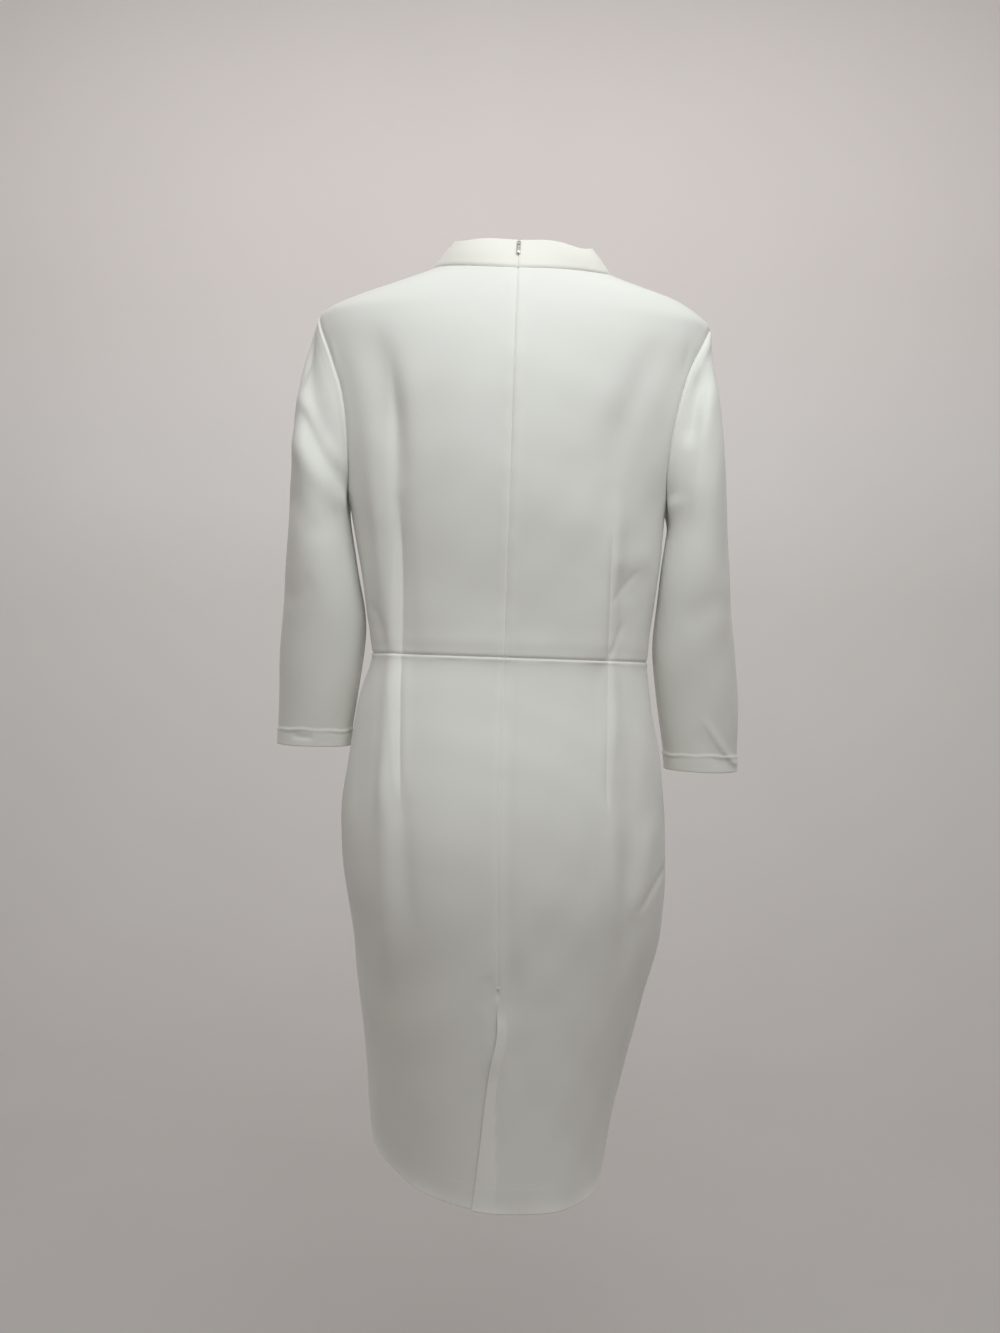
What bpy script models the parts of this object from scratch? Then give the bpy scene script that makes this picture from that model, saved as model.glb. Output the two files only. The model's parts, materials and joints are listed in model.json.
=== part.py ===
"""Sheath dress with a band collar, three-quarter sleeves, a waist seam and a back vent.

The dress keeps the hollow form that it has when worn. Heights run down from the neck, +X is
the wearer's left and +Y the back. Every cloth piece is a wall between an outer surface and
the same surface moved in, and each surface is a function of two parameters: an angle round
the body or the sleeve, and a height. The sections in the tables below shape them.
"""

import bmesh
import bpy
import mathutils
import numpy as np

MM = 0.001

# ---- driving sizes, in millimetres
CLOTH = 1.6                # double-knit cloth
HEM_CLOTH = 2.6            # where a hem is turned up inside
SEAM_GAP = 0.3             # between two pieces at a seam
LEAN_DEG = 2.0             # the whole dress leans to the wearer's right at the top

BACK_NECK_Z = -10.0
FRONT_NECK_Z = -62.0
SHOULDER_Z = -50.0         # shoulder points
UNDERARM_Z = -236.0
WAIST_Z = -397.0
HEM_Z = -931.0             # behind; the hem rises a little towards the front
HEM_TILT = 0.05
HEM_DEPTH = 25.0
ARMHOLE_BACK_DEG = 27.0    # how far round the armhole is cut from the side, behind
ARMHOLE_FRONT_DEG = 33.0   # and in front
BUST = {"x": 82.0, "z": -246.0, "radius": 60.0, "height": 15.0}

COLLAR_CLOTH = 2.4         # two layers and a stiffener
COLLAR_RISE = {"back": 30.0, "side": 25.0, "front": 27.0}
COLLAR_TAPER = {"side": 0.77, "back": 0.81, "front": 0.86}

VENT_TOP_Z = -720.0
VENT_UNDER = 42.0          # the left back runs this far under the right back
VENT_LAP = 26.0            # and the right back this far over the left back, at the hem
VENT_LAP_TOP_Z = -750.0
VENT_STEP = 1.7            # each is moved this far out or in where they lie on each other
VENT_STEP_RUN = (3.0, 35.0)   # the step grows between these heights above the vent's top
VENT_MOST_DEG = 60.0       # no further round than this
VENT_FADE = 34.0

ZIP_END_Z = -505.0
ZIP_TAPE_WIDTH = 24.0
ZIP_TAPE = 1.0

ZIP_CLEAR = 0.7            # between the tape and the cloth that covers it
SLIDER_RISE = 0.80         # how far up the collar the slider stands
SLIDER_SIZE = (4.6, 1.6, 8.4)
BRIDGE_RADIUS = 0.45
BRIDGE_SPAN = 5.4
PULL_BAR_RADIUS = 0.45
PULL_PLAY = 0.3
PULL_WIDTH, PULL_LENGTH, PULL_THICKNESS = 3.6, 12.0, 0.8
PULL_EYE_WIDTH, PULL_EYE_LENGTH = 2.7, 4.4   # between the middles of the eye's rails

CUFF_DEPTH = 17.0
SLEEVE_JOIN_Z = -262.0     # below this height a sleeve is a plain tube
CAP_SPREAD = {"left": 0.30, "right": 0.10}   # how far the cap leaves the shoulder sideways
CAP_SPREAD_UNDER = 0.14    # the same under the arm
CAP_SPREAD_FACES = 0.72    # and behind and in front
CAP_BULGE = 0.30           # how far it leaves backwards and forwards there
CAP_FALL = 0.90            # and downwards
CAP_REACH = 0.36           # the length of the cap curve's handles, as a share of the cap's

# ---- the body: half widths to the wearer's left and right, depths behind and in front of
# the section's middle, how far that middle lies behind the shoulders, the slant that brings
# the left side forward, the power that squares the section, and where the back seam runs
BODY = np.array(
    [
        # z, left, right, back, front, middle, slant, power, seam_deg
        (30.0, 60.0, 66.0, 34.0, 40.0, 0.0, 0.0, 1.00, 0.0),
        (0.0, 87.0, 95.0, 56.0, 56.0, 0.0, 0.0, 1.00, 0.0),
        (-14.0, 122.0, 133.0, 66.0, 62.0, 0.0, 0.0, 1.00, 0.0),
        (-26.0, 154.0, 170.0, 72.0, 67.0, 0.0, 0.0, 1.00, 0.0),
        (-38.0, 183.0, 189.0, 77.0, 72.0, 0.0, 0.0, 1.00, 0.0),
        (-50.0, 204.0, 201.0, 81.0, 77.0, 0.0, 0.0, 1.00, 0.0),
        (-70.0, 207.0, 200.5, 86.0, 84.0, 0.0, 0.0, 1.00, 0.0),
        (-100.0, 203.0, 194.0, 91.0, 94.0, 0.0, 0.0, 1.00, 0.0),
        (-136.0, 194.0, 187.0, 95.0, 106.0, 0.0, 0.0, 1.00, 0.0),
        (-187.0, 181.0, 172.0, 96.0, 112.0, 0.0, 0.0, 1.00, 0.0),
        (-236.0, 167.5, 161.5, 93.0, 113.5, 0.0, 0.0, 0.98, 0.0),
        (-268.0, 161.0, 159.0, 89.0, 112.0, 0.0, 0.0, 0.96, 0.0),
        (-298.0, 155.0, 157.0, 85.0, 108.0, 0.0, 0.0, 0.95, 0.0),
        (-350.0, 145.0, 152.0, 79.0, 98.5, 0.0, 0.0, 0.94, 0.0),
        (-397.0, 137.0, 146.5, 77.0, 93.0, 0.0, 0.0, 0.94, 0.0),
        (-445.0, 150.0, 154.0, 89.0, 100.0, 0.0, 0.0, 0.93, 0.0),
        (-500.0, 157.0, 164.5, 108.0, 106.0, 0.0, 0.0, 0.92, 0.0),
        (-560.0, 163.0, 171.0, 122.0, 108.0, 0.0, 0.0, 0.92, 0.0),
        (-620.0, 159.0, 174.5, 129.0, 108.0, -4.0, -0.02, 0.93, 0.1),
        (-670.0, 151.5, 172.0, 134.0, 106.0, -14.0, -0.04, 0.93, 0.4),
        (-740.0, 144.0, 158.0, 146.0, 100.0, -35.0, -0.07, 0.92, 1.2),
        (-810.0, 138.0, 141.5, 163.0, 90.0, -60.0, -0.10, 0.91, 2.2),
        (-870.0, 134.0, 126.5, 179.0, 80.0, -80.0, -0.13, 0.90, 3.0),
        (-931.0, 129.0, 115.5, 197.0, 72.0, -100.0, -0.15, 0.88, 3.6),
    ]
)
BODY_COLUMNS = ("z", "left", "right", "back", "front", "middle", "slant", "power", "seam")

# ---- the sleeves below the cap: outer and inner sides, the middle and half depth
SLEEVES = {
    "left": np.array(
        [
            # z, outer, inner, middle, half_depth
            (-262.0, 228.0, 165.5, -2.0, 58.0),
            (-300.0, 229.5, 158.0, -3.0, 56.0),
            (-336.0, 231.5, 151.0, -6.0, 53.5),
            (-369.0, 233.5, 145.5, -10.0, 51.0),
            (-406.0, 235.0, 148.5, -15.0, 48.0),
            (-455.0, 236.5, 156.0, -21.0, 43.0),
            (-495.0, 235.5, 160.0, -25.0, 39.5),
        ]
    ),
    "right": np.array(
        [
            (-262.0, 226.5, 165.0, -2.0, 58.0),
            (-297.0, 229.0, 160.5, -3.0, 56.0),
            (-347.0, 235.0, 156.0, -8.0, 52.5),
            (-386.0, 240.5, 155.0, -13.0, 49.0),
            (-425.0, 245.5, 160.0, -18.0, 46.0),
            (-462.0, 248.0, 166.0, -22.0, 42.5),
            (-508.0, 248.5, 174.5, -27.0, 38.5),
        ]
    ),
}
SIDE_SIGN = {"left": 1.0, "right": -1.0}

# ---- the large folds, seen from behind or from the front: from one point to another, the
# half width, and the height of the ridge, which is negative for a trough
FOLDS = np.array(
    [
        # side, x0, z0, x1, z1, half_width, height
        (1, 139, -75, 118, -150, 16, -3.0),
        (1, 118, -140, 106, -225, 13, -2.6),
        (1, -138, -78, -118, -120, 17, -2.2),
        (1, -118, -115, -104, -175, 15, -1.8),
        (1, 112, -250, 106, -390, 11, 2.6),
        (1, -104, -280, -98, -392, 9, -2.2),
        (1, 119, -402, 116, -540, 9, 3.2),
        (1, 118, -500, 114, -690, 13, 4.0),
        (1, 104, -480, 92, -680, 10, -3.6),
        (1, -104, -402, -110, -480, 9, 3.0),
        (1, -106, -545, -116, -660, 10, 3.2),
        (1, -128, -500, -132, -680, 12, -3.6),
        (1, -152, -575, -138, -650, 9, 3.4),
        (1, -164, -606, -146, -650, 8, -3.0),
        (-1, 100, -262, 92, -392, 10, -2.0),
        (-1, -98, -258, -92, -392, 10, -2.2),
        (-1, 92, -402, 98, -500, 10, 2.6),
        (-1, -94, -402, -102, -520, 10, 2.4),
        (-1, 70, -560, 96, -760, 16, -3.0),
        (-1, -82, -580, -60, -800, 16, -3.2),
    ],
    dtype=float,
)
SLEEVE_FOLDS = {
    "left": np.array(
        [
            (1, 208, -118, 178, -188, 9, 3.2),
            (1, 200, -80, 172, -190, 9, -3.4),
            (1, 214, -168, 172, -238, 9, 3.2),
            (1, 212, -146, 178, -212, 7, -2.4),
            (-1, 206, -130, 178, -205, 9, 2.6),
            (-1, 200, -96, 174, -190, 9, -2.6),
        ],
        dtype=float,
    ),
    "right": np.array(
        [
            (1, 176, -120, 172, -160, 8, -3.0),
            (1, 186, -140, 180, -250, 10, 2.6),
            (1, 220, -330, 190, -352, 10, -2.0),
            (1, 212, -462, 240, -502, 6, 3.2),
            (-1, 204, -126, 176, -208, 9, 2.6),
            (-1, 198, -96, 172, -190, 9, -2.4),
        ],
        dtype=float,
    ),
}

# ---- how finely each piece is divided
BODICE_ROWS_BELOW, ARMHOLE_ROWS, SHOULDER_ROWS = 7, 12, 5
BODICE_COLUMNS = 15
SKIRT_ROWS = 17
SKIRT_COLUMNS = 18
SKIRT_FRONT_COLUMNS = 31
SLEEVE_COLUMNS = 2 * (ARMHOLE_ROWS - 1)   # one for each bodice row along the armhole
CAP_ROWS, TUBE_ROWS = 8, 10
COLLAR_ROWS = 3

COLUMN_GIVE = 1.7          # how near the armhole the bodice's columns give way to it
COLUMN_SPREAD = 4          # how near the vent the skirt's columns spread over it
NECK_REACH_Z = {"back": -70.0, "front": -200.0}   # the rows follow the neckline above these

DERIVATIVE_STEP = 0.02     # in degrees of angle or millimetres of height

COLLECTION = "sheath_dress"
HELPERS = "helpers"
IVORY = (0.78, 0.77, 0.72)
COLLAR_IVORY = (0.80, 0.78, 0.71)
STEEL = (0.55, 0.55, 0.56)


def smooth(x, xs, ys):
    """A curve through the points (xs, ys) with no overshoot: cubic pieces whose slope at a
    point is the harmonic mean of the slopes beside it, or 0 where those differ in sign."""
    order = np.argsort(xs)
    xs, ys = xs[order], ys[order]
    step = np.diff(xs)
    slope = np.diff(ys) / step
    before, after = slope[:-1], slope[1:]
    same = before * after > 0
    mean = np.where(same, 2 * before * after / np.where(same, before + after, 1.0), 0.0)
    tangent = np.concatenate([slope[:1], mean, slope[-1:]])
    x = np.clip(x, xs[0], xs[-1])
    i = np.clip(np.searchsorted(xs, x, side="right") - 1, 0, len(step) - 1)
    t = (x - xs[i]) / step[i]
    return (
        ys[i] * (1 + 2 * t) * (1 - t) ** 2
        + tangent[i] * step[i] * t * (1 - t) ** 2
        + ys[i + 1] * (3 - 2 * t) * t**2
        + tangent[i + 1] * step[i] * (t - 1) * t**2
    )


def ease(x, low, high):
    """0 below low and 1 above high, with a smooth change between."""
    t = np.clip((x - low) / (high - low), 0.0, 1.0)
    return t * t * (3 - 2 * t)


def body_size(column, z):
    return smooth(z, BODY[:, 0], BODY[:, BODY_COLUMNS.index(column)])


def plain_body(deg, z):
    """The body without folds. deg runs round it from the centre back, plus towards the
    wearer's left: x is a half width times sin, y a depth times cos, both to a power that
    squares the section, and the slant moves the front across to the left."""
    across, along = np.sin(np.radians(deg)), np.cos(np.radians(deg))
    power = body_size("power", z)
    half_width = np.where(across > 0, body_size("left", z), body_size("right", z))
    depth = np.where(along > 0, body_size("back", z), body_size("front", z))
    x = half_width * np.sign(across) * np.abs(across) ** power
    y = depth * np.sign(along) * np.abs(along) ** power
    x = x + body_size("slant", z) * y
    return np.stack([x, y + body_size("middle", z), z + 0 * x], axis=-1)


def normal_of(surface, u, v):
    """The unit normal of surface(u, v), from its slopes in u and v. It points outwards when
    u turns to the left seen from above and v rises."""
    h = DERIVATIVE_STEP
    du = surface(u + h, v) - surface(u - h, v)
    dv = surface(u, v + h) - surface(u, v - h)
    normal = np.cross(dv, du)
    return normal / np.linalg.norm(normal, axis=-1, keepdims=True)


def fold_height(folds, x, z, facing):
    """The sum of the folds at (x, z): each is a bell curve across its line that fades out at
    its ends, and shows only where the cloth faces the side from which it is seen."""
    total = np.zeros(np.shape(x))
    for side, x0, z0, x1, z1, half_width, height in folds:
        length = np.hypot(x1 - x0, z1 - z0)
        along = ((x - x0) * (x1 - x0) + (z - z0) * (z1 - z0)) / length
        across = ((x - x0) * (z1 - z0) - (z - z0) * (x1 - x0)) / length
        fade = ease(along, -0.25 * length, 0.2 * length)
        fade = fade * ease(length - along, -0.25 * length, 0.2 * length)
        shown = ease(facing * side, 0.02, 0.3)
        total = total + height * fade * shown * np.exp(-((across / half_width) ** 2))
    return total


def bust_height(x, z, facing):
    """Two soft rises in front, one on each side, that the bust darts make room for."""
    total = np.zeros(np.shape(x))
    for middle in (BUST["x"], -BUST["x"]):
        away = np.hypot(x - middle, z - BUST["z"]) / BUST["radius"]
        total = total + BUST["height"] * np.exp(-(away**2))
    return total * ease(-facing, 0.05, 0.6)


def waist_groove(z):
    """The waist seam lies in a narrow groove, and the bodice swells a little over it."""
    sunk = -2.0 * np.exp(-np.abs(z - WAIST_Z) / 5.0)
    swollen = 2.2 * np.exp(-(((z - WAIST_Z - 14.0) / 12.0) ** 2))
    return sunk + swollen


def body(deg, z):
    points = plain_body(deg, z)
    normal = normal_of(plain_body, deg, z)
    raised = fold_height(FOLDS, points[..., 0], points[..., 2], normal[..., 1])
    raised = raised * (1 - ease(z, UNDERARM_Z, SHOULDER_Z) ** 4) + waist_groove(z)
    raised = raised + bust_height(points[..., 0], points[..., 2], normal[..., 1])
    return points + normal * raised[..., None]


def vent_body(panel_sign):
    """The skirt's back, moved out for the panel that laps over the vent and in for the one
    that runs under it, only near the vent."""

    def surface(deg, z):
        points = body(deg, z)
        off_seam = np.abs(points[..., 0] - body(body_size("seam", z), z)[..., 0])
        near = 1 - ease(off_seam, VENT_UNDER, VENT_UNDER + VENT_FADE)
        above = z - VENT_TOP_Z
        near = near * ease(-above, -VENT_STEP_RUN[1], -VENT_STEP_RUN[0])
        near = near * (np.abs(deg) < VENT_MOST_DEG)
        normal = normal_of(plain_body, deg, z)
        return points + normal * (panel_sign * VENT_STEP * near)[..., None]

    return surface


def armhole_deg(z, half):
    """The angle at which a bodice panel ends: 90 at the side, less along the armhole, whose
    outline in angle and height is half an ellipse."""
    middle = (SHOULDER_Z + UNDERARM_Z) / 2
    reach = (SHOULDER_Z - UNDERARM_Z) / 2
    share = np.clip((z - middle) / reach, -1.0, 1.0)
    most = ARMHOLE_BACK_DEG if half == "back" else ARMHOLE_FRONT_DEG
    return 90.0 - most * np.sqrt(1 - share**2)


def neckline(turn):
    """The angle and height of the neckline at a turn, 0 behind, 90 at the left and 180 in
    front. Seen from above it is as wide as the body at the neck's sides, and it dips in front
    more than behind."""
    across, along = np.abs(np.sin(np.radians(turn))), np.cos(np.radians(turn))
    lowest = np.where(along > 0, BACK_NECK_Z, FRONT_NECK_Z)
    z = lowest * np.abs(along) ** 1.6
    half_turns = np.round(turn / 180.0)
    past = turn - 180.0 * half_turns
    on_left = np.sin(np.radians(turn)) > 0
    neck_half = np.where(on_left, body_size("left", 0 * z), body_size("right", 0 * z))
    here_half = np.where(on_left, body_size("left", z), body_size("right", z))
    deg = np.degrees(np.arcsin(np.clip(neck_half * across / here_half, 0.0, 1.0)))
    return 180.0 * half_turns + np.sign(past) * deg, z


def collar(turn, rise):
    """The band collar: a cone from the neckline up to a smaller, higher edge. rise runs from
    0 at the seam to 1 at the edge, and the band bows out a little between."""
    foot = body(*neckline(turn))
    behind = np.cos(np.radians(turn))
    ends = np.abs(behind) ** 1.5
    end_name = np.where(behind > 0, COLLAR_TAPER["back"], COLLAR_TAPER["front"])
    end_rise = np.where(behind > 0, COLLAR_RISE["back"], COLLAR_RISE["front"])
    height = COLLAR_RISE["side"] + (end_rise - COLLAR_RISE["side"]) * ends
    bow = 1 + 0.02 * np.sin(np.pi * np.clip(rise, 0, 1))
    x = foot[..., 0] * (1 + (COLLAR_TAPER["side"] - 1) * rise) * bow
    y = foot[..., 1] * (1 + (end_name - 1) * rise) * bow
    return np.stack([x, y, foot[..., 2] + height * rise], axis=-1)


def armhole_point(side, turn):
    """The armhole of the body at a turn in degrees: 0 at the shoulder point, 90 behind, 180
    under the arm and 270 in front."""
    z = (SHOULDER_Z + UNDERARM_Z) / 2 + (SHOULDER_Z - UNDERARM_Z) / 2 * np.cos(np.radians(turn))
    behind = np.sin(np.radians(turn)) >= 0
    back, front = armhole_deg(z, "back"), armhole_deg(z, "front")
    deg = np.where(behind, back, 180.0 - front) * SIDE_SIGN[side]
    return body(deg, z)


def tube(side, turn, z):
    """A sleeve below its cap: an ellipse at each height."""
    rows = SLEEVES[side]
    outer, inner, middle, half_depth = (smooth(z, rows[:, 0], rows[:, i]) for i in (1, 2, 3, 4))
    across, along = np.cos(np.radians(turn)), np.sin(np.radians(turn))
    x = (outer + inner) / 2 + (outer - inner) / 2 * across
    return np.stack([x * SIDE_SIGN[side], middle + half_depth * along, z + 0 * x], axis=-1)


def plain_sleeve(side):
    """A sleeve without folds. Where v is 0 to 1 it is the cap, a cubic curve from each point
    of the armhole that leaves it outwards and meets the tube straight, and from 1 to 2 it is
    the tube."""

    def surface(turn, v):
        low_z = SLEEVES[side][:, 0].min()
        start = armhole_point(side, turn)
        end = tube(side, turn, SLEEVE_JOIN_Z + 0 * turn)
        below = tube(side, turn, SLEEVE_JOIN_Z - 5.0 + 0 * turn)
        straight = (end - below) / np.linalg.norm(end - below, axis=-1, keepdims=True)
        reach = np.linalg.norm(end - start, axis=-1, keepdims=True)
        outwards = np.cos(np.radians(turn))
        at_ends = np.where(outwards > 0, CAP_SPREAD[side], CAP_SPREAD_UNDER)
        sideways = at_ends * outwards**2 + CAP_SPREAD_FACES * (1 - outwards**2)
        leave = np.stack(
            [SIDE_SIGN[side] * sideways, CAP_BULGE * np.sin(np.radians(turn)), -CAP_FALL + 0 * turn],
            axis=-1,
        )
        t = np.clip(v, 0.0, 1.0)[..., None]
        cap = (
            start * (1 - t) ** 3
            + 3 * (start + leave * reach * CAP_REACH) * t * (1 - t) ** 2
            + 3 * (end + straight * reach * CAP_REACH) * t**2 * (1 - t)
            + end * t**3
        )
        lower = tube(side, turn, SLEEVE_JOIN_Z + (low_z - SLEEVE_JOIN_Z) * (v - 1.0))
        return np.where((v <= 1.0)[..., None], cap, lower)

    return surface


def sleeve(side):
    """The sleeve with its folds."""
    plain = plain_sleeve(side)

    def surface(turn, v):
        points = plain(turn, v)
        normal = sleeve_normal(plain, side, turn, v)
        across = points[..., 0] * SIDE_SIGN[side]
        raised = fold_height(SLEEVE_FOLDS[side], across, points[..., 2], normal[..., 1])
        fade = ease(v, 0.0, 0.25) * ease(-v, -2.0, -1.96)
        return points + normal * (raised * fade)[..., None]

    return surface


def sleeve_normal(surface, side, turn, v):
    """As normal_of, with a step that suits v, and turned out on both sides."""
    h, k = 0.5, 0.004
    du = surface(turn + h, v) - surface(turn - h, v)
    dv = surface(turn, np.clip(v + k, 0, 2)) - surface(turn, np.clip(v - k, 0, 2))
    normal = np.cross(dv, du) * SIDE_SIGN[side]
    return normal / np.linalg.norm(normal, axis=-1, keepdims=True)


def lean(points):
    """Turns the upright dress about the neck, so that it leans as shown."""
    angle = np.radians(LEAN_DEG)
    x = points[..., 0] * np.cos(angle) - points[..., 2] * np.sin(angle)
    z = points[..., 0] * np.sin(angle) + points[..., 2] * np.cos(angle)
    return np.stack([x, points[..., 1], z], axis=-1)


def draw_in(points, edges):
    """Moves the named edges of a grid half a seam gap towards the row or column beside them."""
    points = points.copy()
    for edge in edges:
        here, beside = {
            "bottom": (np.s_[0, :], np.s_[1, :]),
            "top": (np.s_[-1, :], np.s_[-2, :]),
            "first": (np.s_[:, 0], np.s_[:, 1]),
            "last": (np.s_[:, -1], np.s_[:, -2]),
        }[edge]
        step = points[beside] - points[here]
        length = np.linalg.norm(step, axis=-1, keepdims=True)
        points[here] = points[here] + step * (SEAM_GAP / 2 / length)
    return points


def wall_mesh(name, outer, inner, closed):
    """A mesh from two grids of the same size, joined round their edges. A closed grid joins
    its last column to its first."""
    rows, columns = outer.shape[:2]
    points = np.concatenate([outer.reshape(-1, 3), inner.reshape(-1, 3)])
    index = np.arange(rows * columns).reshape(rows, columns)
    if closed:
        index = np.concatenate([index, index[:, :1]], axis=1)
    inside = index + rows * columns

    def quads(a):
        corners = (a[:-1, :-1], a[:-1, 1:], a[1:, 1:], a[1:, :-1])
        return np.stack(corners, axis=-1).reshape(-1, 4)

    def strip(a, b):
        return np.stack([a[:-1], a[1:], b[1:], b[:-1]], axis=-1)

    faces = [quads(index), quads(inside)[:, ::-1]]
    faces.append(strip(inside[0], index[0]))
    faces.append(strip(index[-1], inside[-1]))
    if not closed:
        faces.append(strip(index[:, 0], inside[:, 0]))
        faces.append(strip(inside[:, -1], index[:, -1]))
    faces = np.concatenate(faces)
    if signed_volume(points, faces) < 0:
        faces = faces[:, ::-1]
    mesh = bpy.data.meshes.new(name)
    mesh.from_pydata((lean(points) * MM).tolist(), [], faces.tolist())
    mesh.update()
    mesh.shade_smooth()
    mesh.set_sharp_from_angle(angle=np.radians(50))
    return mesh


def signed_volume(points, faces):
    a, b, c, d = (points[faces[:, i]] for i in range(4))
    one = np.einsum("ij,ij->i", a, np.cross(b, c))
    two = np.einsum("ij,ij->i", a, np.cross(c, d))
    return (one.sum() + two.sum()) / 6


def add_cloth(name, points, normals, thickness, edges, closed=False):
    """One piece of cloth: an object whose wall runs from the points inwards."""
    thickness = np.broadcast_to(thickness, points.shape[:2])[..., None]
    outer = draw_in(points, edges)
    inner = draw_in(points - normals * thickness, edges)
    mesh = wall_mesh(name, outer, inner, closed)
    return add_object(name, mesh)


def add_object(name, mesh):
    thing = bpy.data.objects.new(name, mesh)
    bpy.data.collections[COLLECTION].objects.link(thing)
    return thing


def give_material(thing, colour, roughness, metallic=0.0):
    material = bpy.data.materials.new(thing.name)
    material.use_nodes = True
    shader = material.node_tree.nodes["Principled BSDF"]
    shader.inputs["Base Color"].default_value = (*colour, 1.0)
    shader.inputs["Roughness"].default_value = roughness
    shader.inputs["Metallic"].default_value = metallic
    material.diffuse_color = (*colour, 1.0)
    thing.data.materials.append(material)


def bodice_heights():
    """Row heights from the waist up: even to the underarm, then as the armhole turns, then
    along the shoulder seam."""
    below = np.linspace(WAIST_Z, UNDERARM_Z, BODICE_ROWS_BELOW)[:-1]
    turn = np.linspace(np.pi, 0, ARMHOLE_ROWS)
    middle, reach = (SHOULDER_Z + UNDERARM_Z) / 2, (SHOULDER_Z - UNDERARM_Z) / 2
    along = middle + reach * np.cos(turn)
    shoulder = np.linspace(SHOULDER_Z, 0.0, SHOULDER_ROWS)[1:]
    return np.concatenate([below, along, shoulder])


def bodice_grid(half, share):
    """Angles and heights of a bodice panel. share is 0 at the centre and 1 or -1 at the sides.
    The columns give way to the armhole, and near the top they turn to the neckline."""
    row = bodice_heights()[:, None]
    along_armhole = (row > UNDERARM_Z) & (row < SHOULDER_Z)
    edge = np.where(along_armhole, armhole_deg(row, half), 90.0)
    centre = 0.0 if half == "back" else 180.0
    straight = centre + 90.0 * share
    give_way = (90.0 - edge) * np.sign(share) * np.abs(share) ** COLUMN_GIVE
    neck_deg, neck_z = neckline(straight)
    near_neck = ease(row, NECK_REACH_Z[half], 0.0)
    deg = straight - give_way + near_neck * (neck_deg - straight)
    return deg, row + near_neck * neck_z


def seam_normals(side, z, half):
    """Along an armhole, the direction midway between the bodice's normal and the sleeve's, so
    that both walls end on the same bevel."""
    middle, reach = (SHOULDER_Z + UNDERARM_Z) / 2, (SHOULDER_Z - UNDERARM_Z) / 2
    turn = np.degrees(np.arccos(np.clip((z - middle) / reach, -1, 1)))
    if half == "front":
        turn = 360.0 - turn
    deg = armhole_deg(z, half) if half == "back" else 180.0 - armhole_deg(z, half)
    one = normal_of(body, deg * SIDE_SIGN[side], z)
    two = sleeve_normal(plain_sleeve(side), side, turn, 0.03 + 0 * turn)
    both = one + two
    return both / np.linalg.norm(both, axis=-1, keepdims=True)


def bevel_armhole(normals, side, half, column):
    """Puts the seam's normals on the rows of a bodice panel that lie on the armhole."""
    heights = bodice_heights()
    rows = np.flatnonzero((heights >= UNDERARM_Z) & (heights <= SHOULDER_Z))
    normals[rows, column] = seam_normals(side, heights[rows], half)
    return normals


def bodice_shares():
    """Where a bodice panel's columns lie, from 0 at the centre to 1 at the side."""
    return np.linspace(0, 1, BODICE_COLUMNS)[None, :]


def make_bodice():
    share = bodice_shares()
    for side in ("left", "right"):
        deg, z = bodice_grid("back", SIDE_SIGN[side] * share)
        normals = bevel_armhole(normal_of(body, deg, z), side, "back", -1)
        edges = ("bottom", "top", "first", "last")
        add_cloth(f"bodice_back_{side}", body(deg, z), normals, CLOTH, edges)
    deg, z = bodice_grid("front", np.concatenate([-share[:, :0:-1], share], axis=1))
    normals = normal_of(body, deg, z)
    normals = bevel_armhole(normals, "left", "front", 0)
    normals = bevel_armhole(normals, "right", "front", -1)
    add_cloth("bodice_front", body(deg, z), normals, CLOTH, ("bottom", "top", "first", "last"))


def skirt_heights():
    above = np.linspace(HEM_Z + HEM_DEPTH, WAIST_Z, SKIRT_ROWS)
    return np.concatenate([[HEM_Z, HEM_Z + HEM_DEPTH - 2.0], above])


def hang(deg, z):
    """Heights of the skirt's rows: each rises forwards, more the lower it is, so that the hem
    is tilted and the waist level."""
    behind = plain_body(0.0 * z, z)[..., 1]
    forwards = behind - plain_body(deg, z)[..., 1]
    return z + HEM_TILT * forwards * (z - WAIST_Z) / (HEM_Z - WAIST_Z)


def skirt_thickness(z):
    return np.where(z < HEM_Z + HEM_DEPTH - 1.0, HEM_CLOTH, CLOTH)


def degrees_for(length, z):
    """The angle at the centre back that spans a length."""
    return np.degrees(length / body_size("left", z))


def make_skirt():
    z = skirt_heights()[:, None]
    seam = body_size("seam", z)
    share = np.linspace(0, 1, SKIRT_COLUMNS)[None, :]
    under = degrees_for(VENT_UNDER * ease(-z, -VENT_TOP_Z + 2.0, -VENT_TOP_Z + 26.0), z)
    opened = np.clip((VENT_LAP_TOP_Z - z) / (VENT_LAP_TOP_Z - HEM_Z), 0, 1)
    lap = degrees_for(VENT_LAP * opened, z)
    edges = ("top", "first", "last")
    for side, spread, step in (("left", -under, -1.0), ("right", lap, 1.0)):
        surface = vent_body(step)
        side_deg = 90.0 * SIDE_SIGN[side]
        deg = seam + (side_deg - seam) * share + spread * (1 - share) ** COLUMN_SPREAD
        rows = hang(deg, z)
        normals = normal_of(surface, deg, rows)
        add_cloth(f"skirt_back_{side}", surface(deg, rows), normals, skirt_thickness(z), edges)
    deg = 180.0 + 90.0 * np.linspace(-1, 1, SKIRT_FRONT_COLUMNS)[None, :]
    rows = hang(deg, z)
    normals = normal_of(body, deg, rows)
    add_cloth("skirt_front", body(deg, rows), normals, skirt_thickness(z), edges)


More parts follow.
